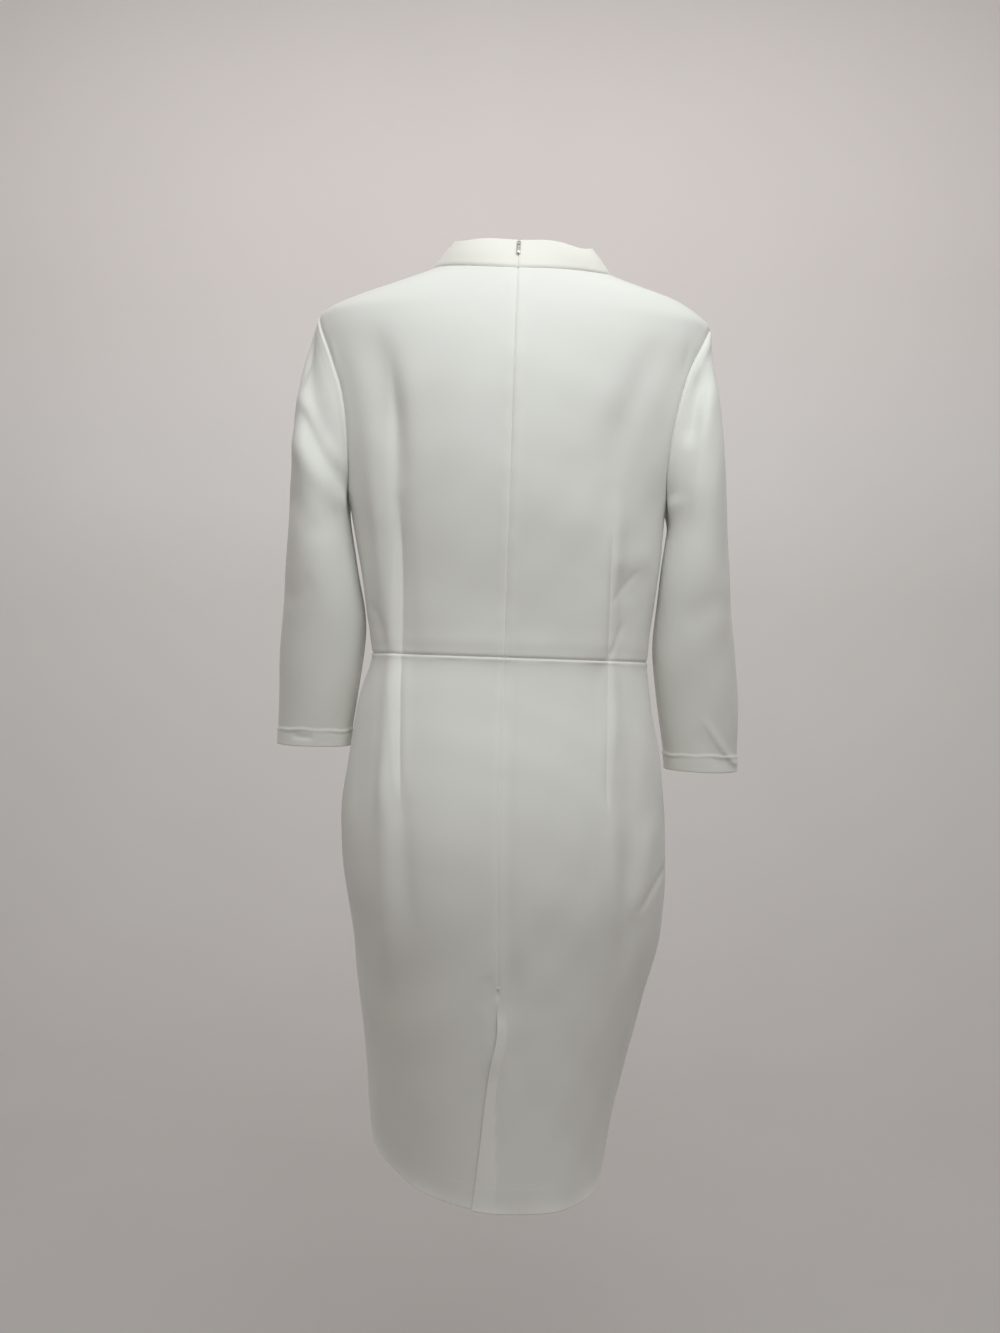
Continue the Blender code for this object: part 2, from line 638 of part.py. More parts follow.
def make_sleeve(side):
    low_z = SLEEVES[side][:, 0].min()
    span = SLEEVE_JOIN_Z - low_z
    tube_rows = 1.0 + np.linspace(0, span - CUFF_DEPTH, TUBE_ROWS) / span
    hem_rows = 1.0 + np.array([span - CUFF_DEPTH + 2.0, span]) / span
    cap_rows = np.linspace(0, 1, CAP_ROWS)[:-1]
    v = np.concatenate([cap_rows, tube_rows, hem_rows])[:, None]
    turn = np.arange(SLEEVE_COLUMNS)[None, :] * 360.0 / SLEEVE_COLUMNS
    turn, v = np.broadcast_arrays(turn, v)
    surface = sleeve(side)
    points = surface(turn, v)
    normals = sleeve_normal(surface, side, turn, v)
    middle, reach = (SHOULDER_Z + UNDERARM_Z) / 2, (SHOULDER_Z - UNDERARM_Z) / 2
    seam_z = middle + reach * np.cos(np.radians(turn[0]))
    for half, here in (("back", turn[0] <= 180.0), ("front", turn[0] > 180.0)):
        normals[0, here] = seam_normals(side, seam_z[here], half)
    thickness = np.where(v > 1.0 + (span - CUFF_DEPTH + 1.0) / span, HEM_CLOTH, CLOTH)
    add_cloth(f"sleeve_{side}", points, normals, thickness, ("bottom",), closed=True)


def make_collar():
    quarter = 90.0 * bodice_shares()[0]
    left = np.concatenate([quarter, 180.0 - quarter[-2::-1]])
    turn = np.concatenate([left, 360.0 - left[-2::-1]])[None, :]
    rise = np.linspace(0, 1, COLLAR_ROWS + 1)[:, None]
    turn, rise = np.broadcast_arrays(turn, rise)
    normals = normal_of(collar_surface, turn, rise * 100.0)
    edges = ("bottom", "first", "last")
    add_cloth("collar", collar(turn, rise), normals, COLLAR_CLOTH, edges)


def collar_surface(turn, percent):
    return collar(turn, percent / 100.0)


def make_zip_tape():
    """The closed zip behind the centre back seam: one strip that follows the inside of the
    collar, the bodice and the skirt."""
    across = np.linspace(-1, 1, 5)[None, :] * ZIP_TAPE_WIDTH / 2
    heights = np.concatenate([skirt_heights(), bodice_heights()[1:]])
    heights = heights[(heights > ZIP_END_Z) & (heights < BACK_NECK_Z - 2.0)]
    z = np.concatenate([[ZIP_END_Z], heights, [BACK_NECK_Z]])[:, None]
    deg = degrees_for(across, z) + body_size("seam", z)
    normals = normal_of(body, deg, z + 0 * deg)
    lower = body(deg, z + 0 * deg) - normals * (CLOTH + ZIP_CLEAR)
    rise = np.clip(np.linspace(0.0, 100.0, COLLAR_ROWS + 1), 4.0, 96.0)[:, None]
    deg = degrees_for(across, BACK_NECK_Z + 0 * rise)
    rise = rise + 0 * deg
    collar_normals = normal_of(collar_surface, deg, rise)
    upper = collar_surface(deg, rise) - collar_normals * (COLLAR_CLOTH + ZIP_CLEAR)
    points = np.concatenate([lower, upper])
    add_cloth("zip_tape", points, np.concatenate([normals, collar_normals]), ZIP_TAPE, ())


def slider_frame():
    """The place of the slider on the collar, as the columns of a matrix: across, out, up and
    where it stands."""
    spot = lean(collar(np.array(0.0), np.array(SLIDER_RISE)))
    above = lean(collar(np.array(0.0), np.array(SLIDER_RISE + 0.01)))
    up = (above - spot) / np.linalg.norm(above - spot)
    across = lean(np.array([1.0, 0.0, 0.0]))
    out = np.cross(up, across)
    frame = np.eye(4)
    frame[:3, 0], frame[:3, 1], frame[:3, 2] = across, out, np.cross(across, out)
    frame[:3, 3] = spot * MM
    return frame


def placed(frame, offset):
    """The frame moved by an offset in millimetres along its own axes."""
    moved = frame.copy()
    moved[:3, 3] = frame[:3, 3] + frame[:3, :3] @ (np.array(offset) * MM)
    return mathutils.Matrix(moved.tolist())


def box_mesh(name, size):
    mesh = bpy.data.meshes.new(name)
    shape = bmesh.new()
    bmesh.ops.create_cube(shape, size=1.0)
    bmesh.ops.scale(shape, vec=[side * MM for side in size], verts=shape.verts)
    shape.to_mesh(mesh)
    shape.free()
    return mesh


def tube_mesh(name, corners, radius, closed=False):
    """A round wire through the corners, as a closed mesh."""
    curve = bpy.data.curves.new(name, "CURVE")
    curve.dimensions = "3D"
    curve.bevel_depth = radius * MM
    curve.bevel_resolution = 2
    curve.use_fill_caps = True
    line = curve.splines.new("POLY")
    line.points.add(len(corners) - 1)
    line.use_cyclic_u = closed
    for point, corner in zip(line.points, corners):
        point.co = (*[value * MM for value in corner], 1.0)
    guide = bpy.data.objects.new(name, curve)
    bpy.data.collections[HELPERS].objects.link(guide)
    bpy.context.view_layer.update()
    graph = bpy.context.evaluated_depsgraph_get()
    mesh = bpy.data.meshes.new_from_object(guide.evaluated_get(graph))
    bpy.data.objects.remove(guide)
    shape = bmesh.new()
    shape.from_mesh(mesh)
    bmesh.ops.remove_doubles(shape, verts=shape.verts, dist=1e-6)
    bmesh.ops.recalc_face_normals(shape, faces=shape.faces)
    shape.to_mesh(mesh)
    shape.free()
    return mesh


def join_to(thing, mesh, operation="UNION"):
    """Joins a mesh to an object, or cuts it away, in the object's own frame."""
    helper = bpy.data.objects.new(mesh.name, mesh)
    bpy.data.collections[HELPERS].objects.link(helper)
    helper.matrix_world = thing.matrix_world
    helper.hide_render = True
    helper.display_type = "WIRE"
    change = thing.modifiers.new(mesh.name, "BOOLEAN")
    change.operation = operation
    change.object = helper
    change.solver = "EXACT"


def make_slider():
    """The slider's plate on the collar and the bridge over it, an arch of round wire."""
    frame = slider_frame()
    plate_out = SEAM_GAP + SLIDER_SIZE[1] / 2
    slider = add_object("zip_slider", box_mesh("zip_slider", SLIDER_SIZE))
    slider.matrix_world = placed(frame, (0, plate_out, 0))
    rounding = slider.modifiers.new("rounding", "BEVEL")
    rounding.width = 0.5 * MM
    rounding.segments = 2
    top = SLIDER_SIZE[1] / 2 + 2 * PULL_PLAY + 2 * PULL_BAR_RADIUS + BRIDGE_RADIUS
    half = BRIDGE_SPAN / 2
    arch = [(0, 0, -half), (0, top * 0.8, -half * 0.92), (0, top, -half * 0.6)]
    arch += [(0, top, half * 0.6), (0, top * 0.8, half * 0.92), (0, 0, half)]
    join_to(slider, tube_mesh("bridge", arch, BRIDGE_RADIUS))
    return slider


def make_pull():
    """The pull tab: a flat tongue with an eye, whose bar passes under the bridge."""
    frame = slider_frame()
    bar_out = SEAM_GAP + SLIDER_SIZE[1] + PULL_PLAY + PULL_BAR_RADIUS
    pull = add_object("zip_pull", bpy.data.meshes.new("zip_pull"))
    pull.matrix_world = placed(frame, (0, bar_out, 0))
    rail, low = PULL_EYE_WIDTH / 2, -PULL_EYE_LENGTH
    eye = [(-rail, 0, 0), (rail, 0, 0), (rail, 0, low), (-rail, 0, low)]
    pull.data = tube_mesh("zip_pull", eye, PULL_BAR_RADIUS, closed=True)
    tongue = box_mesh("tongue", (PULL_WIDTH, PULL_THICKNESS, PULL_LENGTH - PULL_EYE_LENGTH))
    middle = (0, 0, -(PULL_LENGTH + PULL_EYE_LENGTH) / 2 * MM)
    tongue.transform(mathutils.Matrix.Translation(middle))
    join_to(pull, tongue)
    return pull


def main():
    for thing in list(bpy.data.objects):
        bpy.data.objects.remove(thing)
    for name in (COLLECTION, HELPERS):
        bpy.context.scene.collection.children.link(bpy.data.collections.new(name))
    make_bodice()
    make_skirt()
    for side in SIDE_SIGN:
        make_sleeve(side)
    make_collar()
    make_zip_tape()
    make_slider()
    make_pull()
    for thing in bpy.data.collections[COLLECTION].objects:
        if thing.name in ("zip_slider", "zip_pull"):
            give_material(thing, STEEL, 0.35, 1.0)
        elif thing.name == "collar":
            give_material(thing, COLLAR_IVORY, 0.85)
        else:
            give_material(thing, IVORY, 0.85)


main()
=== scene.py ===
# %% [markdown]
# # A sheath dress, worked out as surfaces
#
# The dress has a band collar, set-in three-quarter sleeves, a waist seam, a zip in the centre
# back seam and a vent below it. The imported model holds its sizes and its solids. Here each
# piece of cloth gets a fine shell on its solid's form, with the folds, seams, darts and hems
# that the sewing makes. A cloth simulation could drape it, but pressed double-knit on a close
# fit shows few folds, and a surface with a formula lets each one be placed.

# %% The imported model
import json

import bpy
import numpy as np
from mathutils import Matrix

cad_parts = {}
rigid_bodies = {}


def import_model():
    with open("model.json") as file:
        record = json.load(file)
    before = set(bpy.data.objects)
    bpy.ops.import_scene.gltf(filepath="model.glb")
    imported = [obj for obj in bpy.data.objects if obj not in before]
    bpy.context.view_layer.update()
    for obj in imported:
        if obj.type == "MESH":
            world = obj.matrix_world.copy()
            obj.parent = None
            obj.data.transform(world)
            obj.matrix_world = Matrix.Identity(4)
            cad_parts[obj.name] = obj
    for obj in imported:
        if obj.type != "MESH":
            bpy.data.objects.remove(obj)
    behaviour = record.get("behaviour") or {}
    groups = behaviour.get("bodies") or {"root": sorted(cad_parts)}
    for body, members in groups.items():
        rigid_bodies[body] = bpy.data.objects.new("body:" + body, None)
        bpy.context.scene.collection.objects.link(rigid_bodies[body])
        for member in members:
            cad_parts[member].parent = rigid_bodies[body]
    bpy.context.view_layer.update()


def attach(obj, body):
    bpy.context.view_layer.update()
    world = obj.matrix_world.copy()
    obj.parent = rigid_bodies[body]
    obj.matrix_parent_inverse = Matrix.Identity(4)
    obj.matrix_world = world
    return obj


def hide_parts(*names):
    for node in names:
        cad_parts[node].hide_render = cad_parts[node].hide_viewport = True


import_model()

# %% [markdown]
# ## The camera
#
# The picture is taken from behind, level with the waist, from about 1.3 m. A lens is given
# here by its focal length in pixels of a 1000 x 1333 frame, because that is what a measured
# picture yields, and a small shift puts the level line where the picture has it.

# %% Camera
FRAME_WIDTH, FRAME_HEIGHT = 1000, 1333
FOCAL_PIXELS = 1260
LEVEL_PIXEL = (512, 650)  # the pixel that the camera looks straight at
EYE = (0.00627, 1.310, -0.3895)
SENSOR = 36.0


def put_in_scene(name, data):
    """A new object that shows this data, linked into the scene."""
    thing = bpy.data.objects.new(name, data)
    bpy.context.scene.collection.objects.link(thing)
    return thing


camera = put_in_scene("camera", bpy.data.cameras.new("camera"))
camera.data.sensor_width = SENSOR
camera.data.lens = SENSOR * FOCAL_PIXELS / FRAME_HEIGHT
camera.data.shift_x = (FRAME_WIDTH / 2 - LEVEL_PIXEL[0]) / FRAME_HEIGHT
camera.data.shift_y = (LEVEL_PIXEL[1] - FRAME_HEIGHT / 2) / FRAME_HEIGHT
camera.location = EYE
camera.rotation_euler = (np.pi / 2, 0.0, np.pi)
bpy.context.scene.camera = camera
print("lens:", round(camera.data.lens, 2), "mm")

# %% [markdown]
# ## Curves through short tables
#
# A maker's pattern is a few measures joined by fair curves. Each measure of the body is such
# a curve over the height. It is computed once for every millimetre and then blurred, because
# a curve whose bend jumps at a table row shows as a band in the shading of white cloth. The
# blur is small at the shoulders and the waist, where the form does turn sharply.

# %% Table curves
MM = 0.001
WAIST_Z, HEM_Z, SHOULDER_Z, UNDERARM_Z = -397.0, -931.0, -50.0, -236.0
HEIGHTS = np.arange(-1010.0, 70.0, 1.0)  # every millimetre that the curves cover


def through(x, xs, ys):
    """A curve through the points (xs, ys) with no overshoot: cubic pieces whose slope at a
    point is the harmonic mean of the slopes beside it, or 0 where those differ in sign."""
    step = np.diff(xs)
    slope = np.diff(ys) / step
    before, after = slope[:-1], slope[1:]
    same = before * after > 0
    mean = np.where(same, 2 * before * after / np.where(same, before + after, 1.0), 0.0)
    tangent = np.concatenate([slope[:1], mean, slope[-1:]])
    x = np.clip(x, xs[0], xs[-1])
    i = np.clip(np.searchsorted(xs, x, side="right") - 1, 0, len(step) - 1)
    t = (x - xs[i]) / step[i]
    return (
        ys[i] * (1 + 2 * t) * (1 - t) ** 2
        + tangent[i] * step[i] * t * (1 - t) ** 2
        + ys[i + 1] * (3 - 2 * t) * t**2
        + tangent[i + 1] * step[i] * (t - 1) * t**2
    )


def ease(x, low, high):
    """0 at low and before it, 1 at high and past it, with the cubic t * t * (3 - 2t) between."""
    t = np.clip((x - low) / (high - low), 0.0, 1.0)
    return t * t * (3 - 2 * t)


def bell(x, width):
    """1 at 0, falling off on both sides as exp(-(x / width) squared)."""
    return np.exp(-((x / width) ** 2))


def softened(knots, values, blur):
    """The curve through a table at every one of HEIGHTS, run on straight past its ends, and
    averaged with its neighbours under a bell as wide as blur says at that height."""
    order = np.argsort(knots)
    knots, values = knots[order], values[order]
    low_slope = (values[1] - values[0]) / (knots[1] - knots[0])
    high_slope = (values[-1] - values[-2]) / (knots[-1] - knots[-2])
    curve = through(HEIGHTS, knots, values)
    curve = curve + low_slope * np.minimum(HEIGHTS - knots[0], 0.0)
    curve = curve + high_slope * np.maximum(HEIGHTS - knots[-1], 0.0)
    weight = np.exp(-(((HEIGHTS[:, None] - HEIGHTS[None, :]) / blur[:, None]) ** 2) / 2)
    return weight @ curve / weight.sum(axis=1)


print("heights:", len(HEIGHTS))

# %% [markdown]
# ## The body of the dress
#
# Round the body, a point is named by an angle from the centre back and a height below the
# neck. Each height has its own half widths and depths, a power that squares the section, and
# a slant for the way the skirt swings. These are the same rows as in the solids.

# %% Body
# the height, the half widths and depths there, how far back the middle is, the slant, the
# section's power, and the angle at which the centre back seam lies
BODY_COLUMNS = ("z", "left", "right", "back", "front", "middle", "slant", "power", "seam")
BODY = np.array([
    (30, 60, 66, 34, 40, 0, 0, 1, 0),
    (0, 87, 95, 56, 56, 0, 0, 1, 0),
    (-14, 122, 133, 66, 62, 0, 0, 1, 0),
    (-26, 154, 170, 72, 67, 0, 0, 1, 0),
    (-38, 183, 189, 77, 72, 0, 0, 1, 0),
    (-50, 204, 201, 81, 77, 0, 0, 1, 0),
    (-70, 207, 200.5, 86, 84, 0, 0, 1, 0),
    (-100, 203, 194, 91, 94, 0, 0, 1, 0),
    (-136, 194, 187, 95, 106, 0, 0, 1, 0),
    (-187, 181, 172, 96, 112, 0, 0, 1, 0),
    (-236, 167.5, 161.5, 93, 113.5, 0, 0, 0.98, 0),
    (-268, 161, 159, 89, 112, 0, 0, 0.96, 0),
    (-298, 155, 157, 85, 108, 0, 0, 0.95, 0),
    (-350, 145, 152, 79, 98.5, 0, 0, 0.94, 0),
    (-397, 137, 146.5, 77, 93, 0, 0, 0.94, 0),
    (-445, 150, 154, 89, 100, 0, 0, 0.93, 0),
    (-500, 157, 164.5, 108, 106, 0, 0, 0.92, 0),
    (-560, 163, 171, 122, 108, 0, 0, 0.92, 0),
    (-620, 159, 174.5, 129, 108, -4, -0.02, 0.93, 0.1),
    (-670, 151.5, 172, 134, 106, -14, -0.04, 0.93, 0.4),
    (-740, 144, 158, 146, 100, -35, -0.07, 0.92, 1.2),
    (-810, 138, 141.5, 163, 90, -60, -0.10, 0.91, 2.2),
    (-870, 134, 126.5, 179, 80, -80, -0.13, 0.90, 3),
    (-931, 129, 115.5, 197, 72, -100, -0.15, 0.88, 3.6),
])
SHOULDER_BLUR, BODY_BLUR, WAIST_BLUR = 4.0, 13.0, 4.0
SHOULDER_BLUR_ENDS = (60.0, 110.0)  # how far below the neck the one blur gives way to the next
WAIST_BLUR_REACH = 28.0
DERIVATIVE_STEP = 0.5  # degrees of angle or millimetres of height

blur = SHOULDER_BLUR + (BODY_BLUR - SHOULDER_BLUR) * ease(-HEIGHTS, *SHOULDER_BLUR_ENDS)
blur = blur - (BODY_BLUR - WAIST_BLUR) * bell(HEIGHTS - WAIST_Z, WAIST_BLUR_REACH)
BODY_CURVES = {
    name: softened(BODY[:, 0], BODY[:, i], blur) for i, name in enumerate(BODY_COLUMNS)
}


def body_size(column, z):
    """A measure of the body at the heights z, read from its curve."""
    return np.interp(z, HEIGHTS, BODY_CURVES[column])


def plain_body(deg, z):
    """The body without folds. deg runs round it from the centre back, plus to the left: x is
    a half width times sin, y a depth times cos, both to a power that squares the section.
    The slant moves the front to the left."""
    across, along = np.sin(np.radians(deg)), np.cos(np.radians(deg))
    power = body_size("power", z)
    half_width = np.where(across > 0, body_size("left", z), body_size("right", z))
    depth = np.where(along > 0, body_size("back", z), body_size("front", z))
    x = half_width * np.sign(across) * np.abs(across) ** power
    y = depth * np.sign(along) * np.abs(along) ** power
    x = x + body_size("slant", z) * y
    return np.stack([x, y + body_size("middle", z), z + 0 * x], axis=-1)


def unit(vectors):
    """The vectors at length 1: each is divided by its own length."""
    return vectors / np.linalg.norm(vectors, axis=-1, keepdims=True)


def body_normal(deg, z):
    """The unit normal of the plain body, from its slopes round it and upwards."""
    h = DERIVATIVE_STEP
    around = plain_body(deg + h, z) - plain_body(deg - h, z)
    upwards = plain_body(deg, z + h) - plain_body(deg, z - h)
    return unit(np.cross(upwards, around))


def body_deg(x, z):
    """The angle at which the plain body is x wide at height z, behind."""
    half_width = np.where(x > 0, body_size("left", z), body_size("right", z))
    share = np.clip(np.abs(x) / half_width, 0.0, 1.0) ** (1 / body_size("power", z))
    return np.degrees(np.arcsin(share)) * np.sign(x)


print("waist:", round(float(body_size("left", WAIST_Z) + body_size("right", WAIST_Z))), "mm wide")

# %% [markdown]
# ## Folds and creases
#
# The real cloth pulls from the armholes, swells beside the darts and hangs in soft columns
# over the hips. Sculpting could draw that by hand. Here each fold is one row of a table: it
# runs over a slightly bent line, seen from behind (1) or from the front (-1), with a half
# width, a height that is negative for a trough, and a lean that makes one flank steeper. No
# two rows are alike, because real folds differ in length, depth and spacing.

# %% Folds
FOLD_FADE = (-0.25, 0.2)  # where a fold grows, in shares of its length from its end
FOLD_FACING = (0.02, 0.3)  # how far the cloth has to face the side that it is seen from
BODY_FOLDS = [
    # view, x and z of its start, x and z of its end, bend, half width, height, lean
    # the drag from the armholes over the shoulder blades
    (1, 143, -62, 109, -236, 5.4, 13, -4.2, 0),
    (1, 168, -60, 130, -180, 3, 22, -3.6, 0),
    (1, 119, -130, 109, -330, 0, 7, -3, -0.3),
    (1, 162, -90, 134, -250, 4, 13, 2.8, 0),
    (1, -148, -66, -110, -190, -5, 16, -3.6, 0),
    (1, -104, -150, -96, -250, 0, 14, -1.6, 0),
    (1, -172, -110, -150, -220, 0, 13, 1.2, 0),
    (1, -177, -58, -171, -104, 0, 4, -2, 0),
    (1, 185, -84, 180, -138, 2, 3, 1, 0),
    # beside the bodice darts
    (1, 134, -236, 112, -392, -2, 9, 3.4, 0),
    (1, 108, -262, 100, -398, 0, 9, -4.4, -0.3),
    (1, 136, -350, 118, -392, 3, 5, -1.2, 0),
    (1, -102, -240, -100, -404, 0, 18, 5.2, 0.8),
    (1, -112, -318, -104, -402, 0, 13, -3.4, -0.4),
    (1, -101, -399, -117, -362, 0, 3.5, -1.2, 0),
    (1, -104, -338, -130, -308, 0, 3.5, -0.8, 0),
    (1, -118, -346, -148, -322, 0, 9, 0.4, 0),
    (1, -106, -300, -142, -291, 0, 14, 1.4, 0),
    (1, -92, -330, -90, -404, 0, 20, 1.6, 0),
    (1, -70, -330, -62, -392, 0, 14, -1, 0),
    # the skirt over the hips
    (1, 114, -402, 111, -540, 0, 8, 3.6, 0),
    (1, 140, -420, 142, -560, 0, 12, -2.4, 0),
    (1, 110, -510, 103, -700, 0, 11, 4, 0),
    (1, 97, -520, 84, -650, 0, 10, -2.3, 0),
    (1, -106, -402, -110, -480, 0, 9, 2.6, 0),
    (1, -106, -545, -116, -660, 0, 10, 3.2, 0),
    (1, -128, -500, -132, -680, 0, 12, -3.6, 0),
    (1, -150, -560, -138, -640, 0, 10, 2.6, 0),
    (1, -172, -604, -144, -640, -2, 3.5, -1.5, 0.3),
    # the centre back seam and the top of the vent
    (1, 0, -150, 0, -392, 0, 4, -0.7, 0),
    (1, -3, -404, -14, -722, 0, 8, -2.4, 0),
    (1, -22, -690, -24, -790, 0, 10, -1.8, 0),
    (1, 5, -702, -3, -722, 0, 7, -0.6, 0),
    (1, 6, -735, -2, -790, 0, 9, 1, 0),
    # in front
    (-1, 100, -262, 92, -392, 0, 10, -2, 0),
    (-1, -98, -258, -92, -392, 0, 10, -2.2, 0),
    (-1, 92, -402, 98, -500, 0, 10, 2.6, 0),
    (-1, -94, -402, -102, -520, 0, 10, 2.4, 0),
    (-1, 70, -560, 96, -760, 0, 16, -3, 0),
    (-1, -82, -580, -60, -800, 0, 16, -3.2, 0),
    (-1, 168, -92, 134, -176, 6, 11, -2, 0.2),
    (-1, -162, -96, -130, -168, -5, 11, -1.8, 0.2),
    (-1, 30, -404, 12, -470, 4, 12, -1.2, 0),
    (-1, -126, -440, -134, -560, -4, 10, -1.8, 0),
]


def fold_height(rows, x, z, facing):
    """The sum of the folds at (x, z). Across, a fold is a bell whose
    middle runs over a parabola, bend high at half way. It begins and ends softly, and shows
    only where the cloth faces its side."""
    total = np.zeros(np.shape(x))
    for view, x0, z0, x1, z1, bend, half_width, height, lean_share in rows:
        length = np.hypot(x1 - x0, z1 - z0)
        along = ((x - x0) * (x1 - x0) + (z - z0) * (z1 - z0)) / length
        across = ((x - x0) * (z1 - z0) - (z - z0) * (x1 - x0)) / length
        share = np.clip(along / length, 0.0, 1.0)
        across = (across - 4 * bend * share * (1 - share)) / half_width
        across = across * (1 + lean_share * np.tanh(across))
        growth = (FOLD_FADE[0] * length, FOLD_FADE[1] * length)
        fade = ease(along, *growth) * ease(length - along, *growth)
        total = total + height * fade * ease(facing * view, *FOLD_FACING) * bell(across, 1.0)
    return total


print("folds on the body:", len(BODY_FOLDS))

# %% [markdown]
# ## The body's relief
#
# On top of the folds come the two soft rises that the bust darts make room for, the groove of
# the waist seam, and a faint unevenness: a sum of long waves with fixed random directions.
# All of it depends on the place alone, so that two pieces get the same relief at their seam.

# %% Relief
BUST = {"x": 82.0, "z": -246.0, "radius": 60.0, "height": 15.0, "facing": (0.05, 0.6)}
WAIST_GROOVE = {"depth": 0.7, "reach": 1.3}
WAIST_SWELL = {"height": 0.9, "above": 13.0, "reach": 10.0}
WAIST_LIP = {"height": 0.5, "below": 2.2, "reach": 1.7}
WAIST_LIP_WAVES = ((0.2, 8.0, 1.0), (0.2, 21.0, 0.0))
WAIST_LIP_LOW = {"x": -140.0, "reach": 20.0, "loss": 0.6}
RIPPLE_COUNT, RIPPLE_HEIGHT = 14, 0.16
RIPPLE_LENGTHS = (45.0, 150.0)
RIPPLE_CLIMB = 0.7  # how much of a wave's turn goes upwards
RIPPLE_CALM, RIPPLE_CALM_ENDS = 0.35, (60.0, 140.0)  # its share at the shoulders
FOLD_STOP_POWER = 4  # how suddenly folds end at the shoulders

random = np.random.default_rng(7)
ripple_turns = random.uniform(0, 2 * np.pi, (RIPPLE_COUNT, 2))
ripple_lengths = random.uniform(*RIPPLE_LENGTHS, RIPPLE_COUNT)
ripple_starts = random.uniform(0, 2 * np.pi, RIPPLE_COUNT)


def ripples(points):
    """A faint unevenness: a sum of waves through space, each with its own direction."""
    total = np.zeros(points.shape[:-1])
    for (turn, tilt), length, start in zip(ripple_turns, ripple_lengths, ripple_starts):
        way = (np.cos(turn), np.sin(turn) * np.cos(tilt), RIPPLE_CLIMB * np.sin(turn))
        total = total + np.sin(points @ np.array(way) * (2 * np.pi / length) + start)
    return total * RIPPLE_HEIGHT


def waves(x, rows):
    """A sum of sines along x. Each row has a height, the length of a radian and a start."""
    return sum(height * np.sin(x / radian + start) for height, radian, start in rows)


def bust_height(x, z, facing):
    """Two soft rises in front, bells that the bust darts make room for."""
    total = np.zeros(np.shape(x))
    for middle in (BUST["x"], -BUST["x"]):
        total = total + bell(np.hypot(x - middle, z - BUST["z"]), BUST["radius"])
    return BUST["height"] * total * ease(-facing, *BUST["facing"])


def waist_form(x, z):
    """The waist seam's groove is an exponential on both sides. Over it the bodice swells in a
    bell, and below it the skirt's pressed edge is a lip, a narrow bell that waves along it."""
    above = z - WAIST_Z
    groove = -WAIST_GROOVE["depth"] * np.exp(-np.abs(above) / WAIST_GROOVE["reach"])
    swell = WAIST_SWELL["height"] * bell(above - WAIST_SWELL["above"], WAIST_SWELL["reach"])
    lip = WAIST_LIP["height"] + waves(x, WAIST_LIP_WAVES)
    lip = lip * (1 - WAIST_LIP_LOW["loss"] * bell(x - WAIST_LIP_LOW["x"], WAIST_LIP_LOW["reach"]))
    return groove + swell + lip * bell(above + WAIST_LIP["below"], WAIST_LIP["reach"])


def body_relief(points, normal):
    """All that rises from the plain body by its place alone: the folds, which end at the
    shoulders, the waist, the bust, and the unevenness, which is fainter there."""
    x, z, facing = points[..., 0], points[..., 2], normal[..., 1]
    folds = fold_height(BODY_FOLDS, x, z, facing)
    folds = folds * (1 - ease(z, UNDERARM_Z, SHOULDER_Z) ** FOLD_STOP_POWER)
    calm = RIPPLE_CALM + (1 - RIPPLE_CALM) * ease(-z, *RIPPLE_CALM_ENDS)
    return folds + waist_form(x, z) + bust_height(x, z, facing) + ripples(points) * calm


def raised(points, normals, height):
    """The points moved along their normals by a height."""
    return points + normals * height[..., None]


def body(deg, z):
    """The body of the dress: the plain form raised by its relief."""
    points, normal = plain_body(deg, z), body_normal(deg, z)
    return raised(points, normal, body_relief(points, normal))


print("ripples:", RIPPLE_COUNT)

# %% [markdown]
# ## Grids that are fine where the sewing is
#
# A seam is a few millimetres wide and a panel is a few hundred. An even grid would waste
# triangles or miss the seam. So the rows and columns are spaced by a density that rises
# round each seam, dart and hem, and their lengths along the cloth are measured afterwards:
# they give the UV map in metres and the distance of each point to its seams.

# %% Grids
EVEN, CLOSE = 2.4, 0.62  # millimetres between columns on the plain cloth and at seams
INNER_STEP = 3  # every third row and column is kept on the cloth's inner side
STATION_SAMPLES = 6001
CLOSE_REACH = {
    # how far from each line of sewing the grid stays close, in millimetres
    "centre": 4.0, "dart": 7.0, "side": 6.0, "waist": 6.0, "bust_dart": 3.5, "neckline": 4.0,
    "hem_edge": 3.0, "hem_top": 4.0, "armhole": 6.0, "underarm": 4.0, "collar_edge": 3.0,
    "collar_foot": 2.5, "collar_end": 3.0, "tape_bend": 8.0,
}


def stations(length, spots, even=EVEN, close=CLOSE):
    """Places from 0 to length. They lie even apart, and close at each spot (place, line): the
    density is a bell round it, and its running sum counts the places. Their number less one
    is a multiple of the inner step."""
    fine = np.linspace(0.0, length, STATION_SAMPLES)
    density = np.full(fine.shape, 1 / even)
    for place, line in spots:
        density = density + (1 / close - 1 / even) * bell(fine - place, CLOSE_REACH[line])
    count = np.concatenate([[0.0], np.cumsum((density[1:] + density[:-1]) / 2 * np.diff(fine))])
    number = INNER_STEP * int(np.ceil(count[-1] / INNER_STEP))
    return np.interp(np.linspace(0.0, count[-1], number + 1), count, fine)


def lengths(points):
    """How far each point of a grid lies along its row from the first column, and along its
    column from the bottom row."""
    along = np.linalg.norm(np.diff(points, axis=1), axis=-1)
    up = np.linalg.norm(np.diff(points, axis=0), axis=-1)
    along = np.concatenate([np.zeros((points.shape[0], 1)), np.cumsum(along, axis=1)], axis=1)
    up = np.concatenate([np.zeros((1, points.shape[1])), np.cumsum(up, axis=0)], axis=0)
    return along, up


print("a 200 mm panel with one seam:", len(stations(200.0, [(0.0, "side")])), "columns")

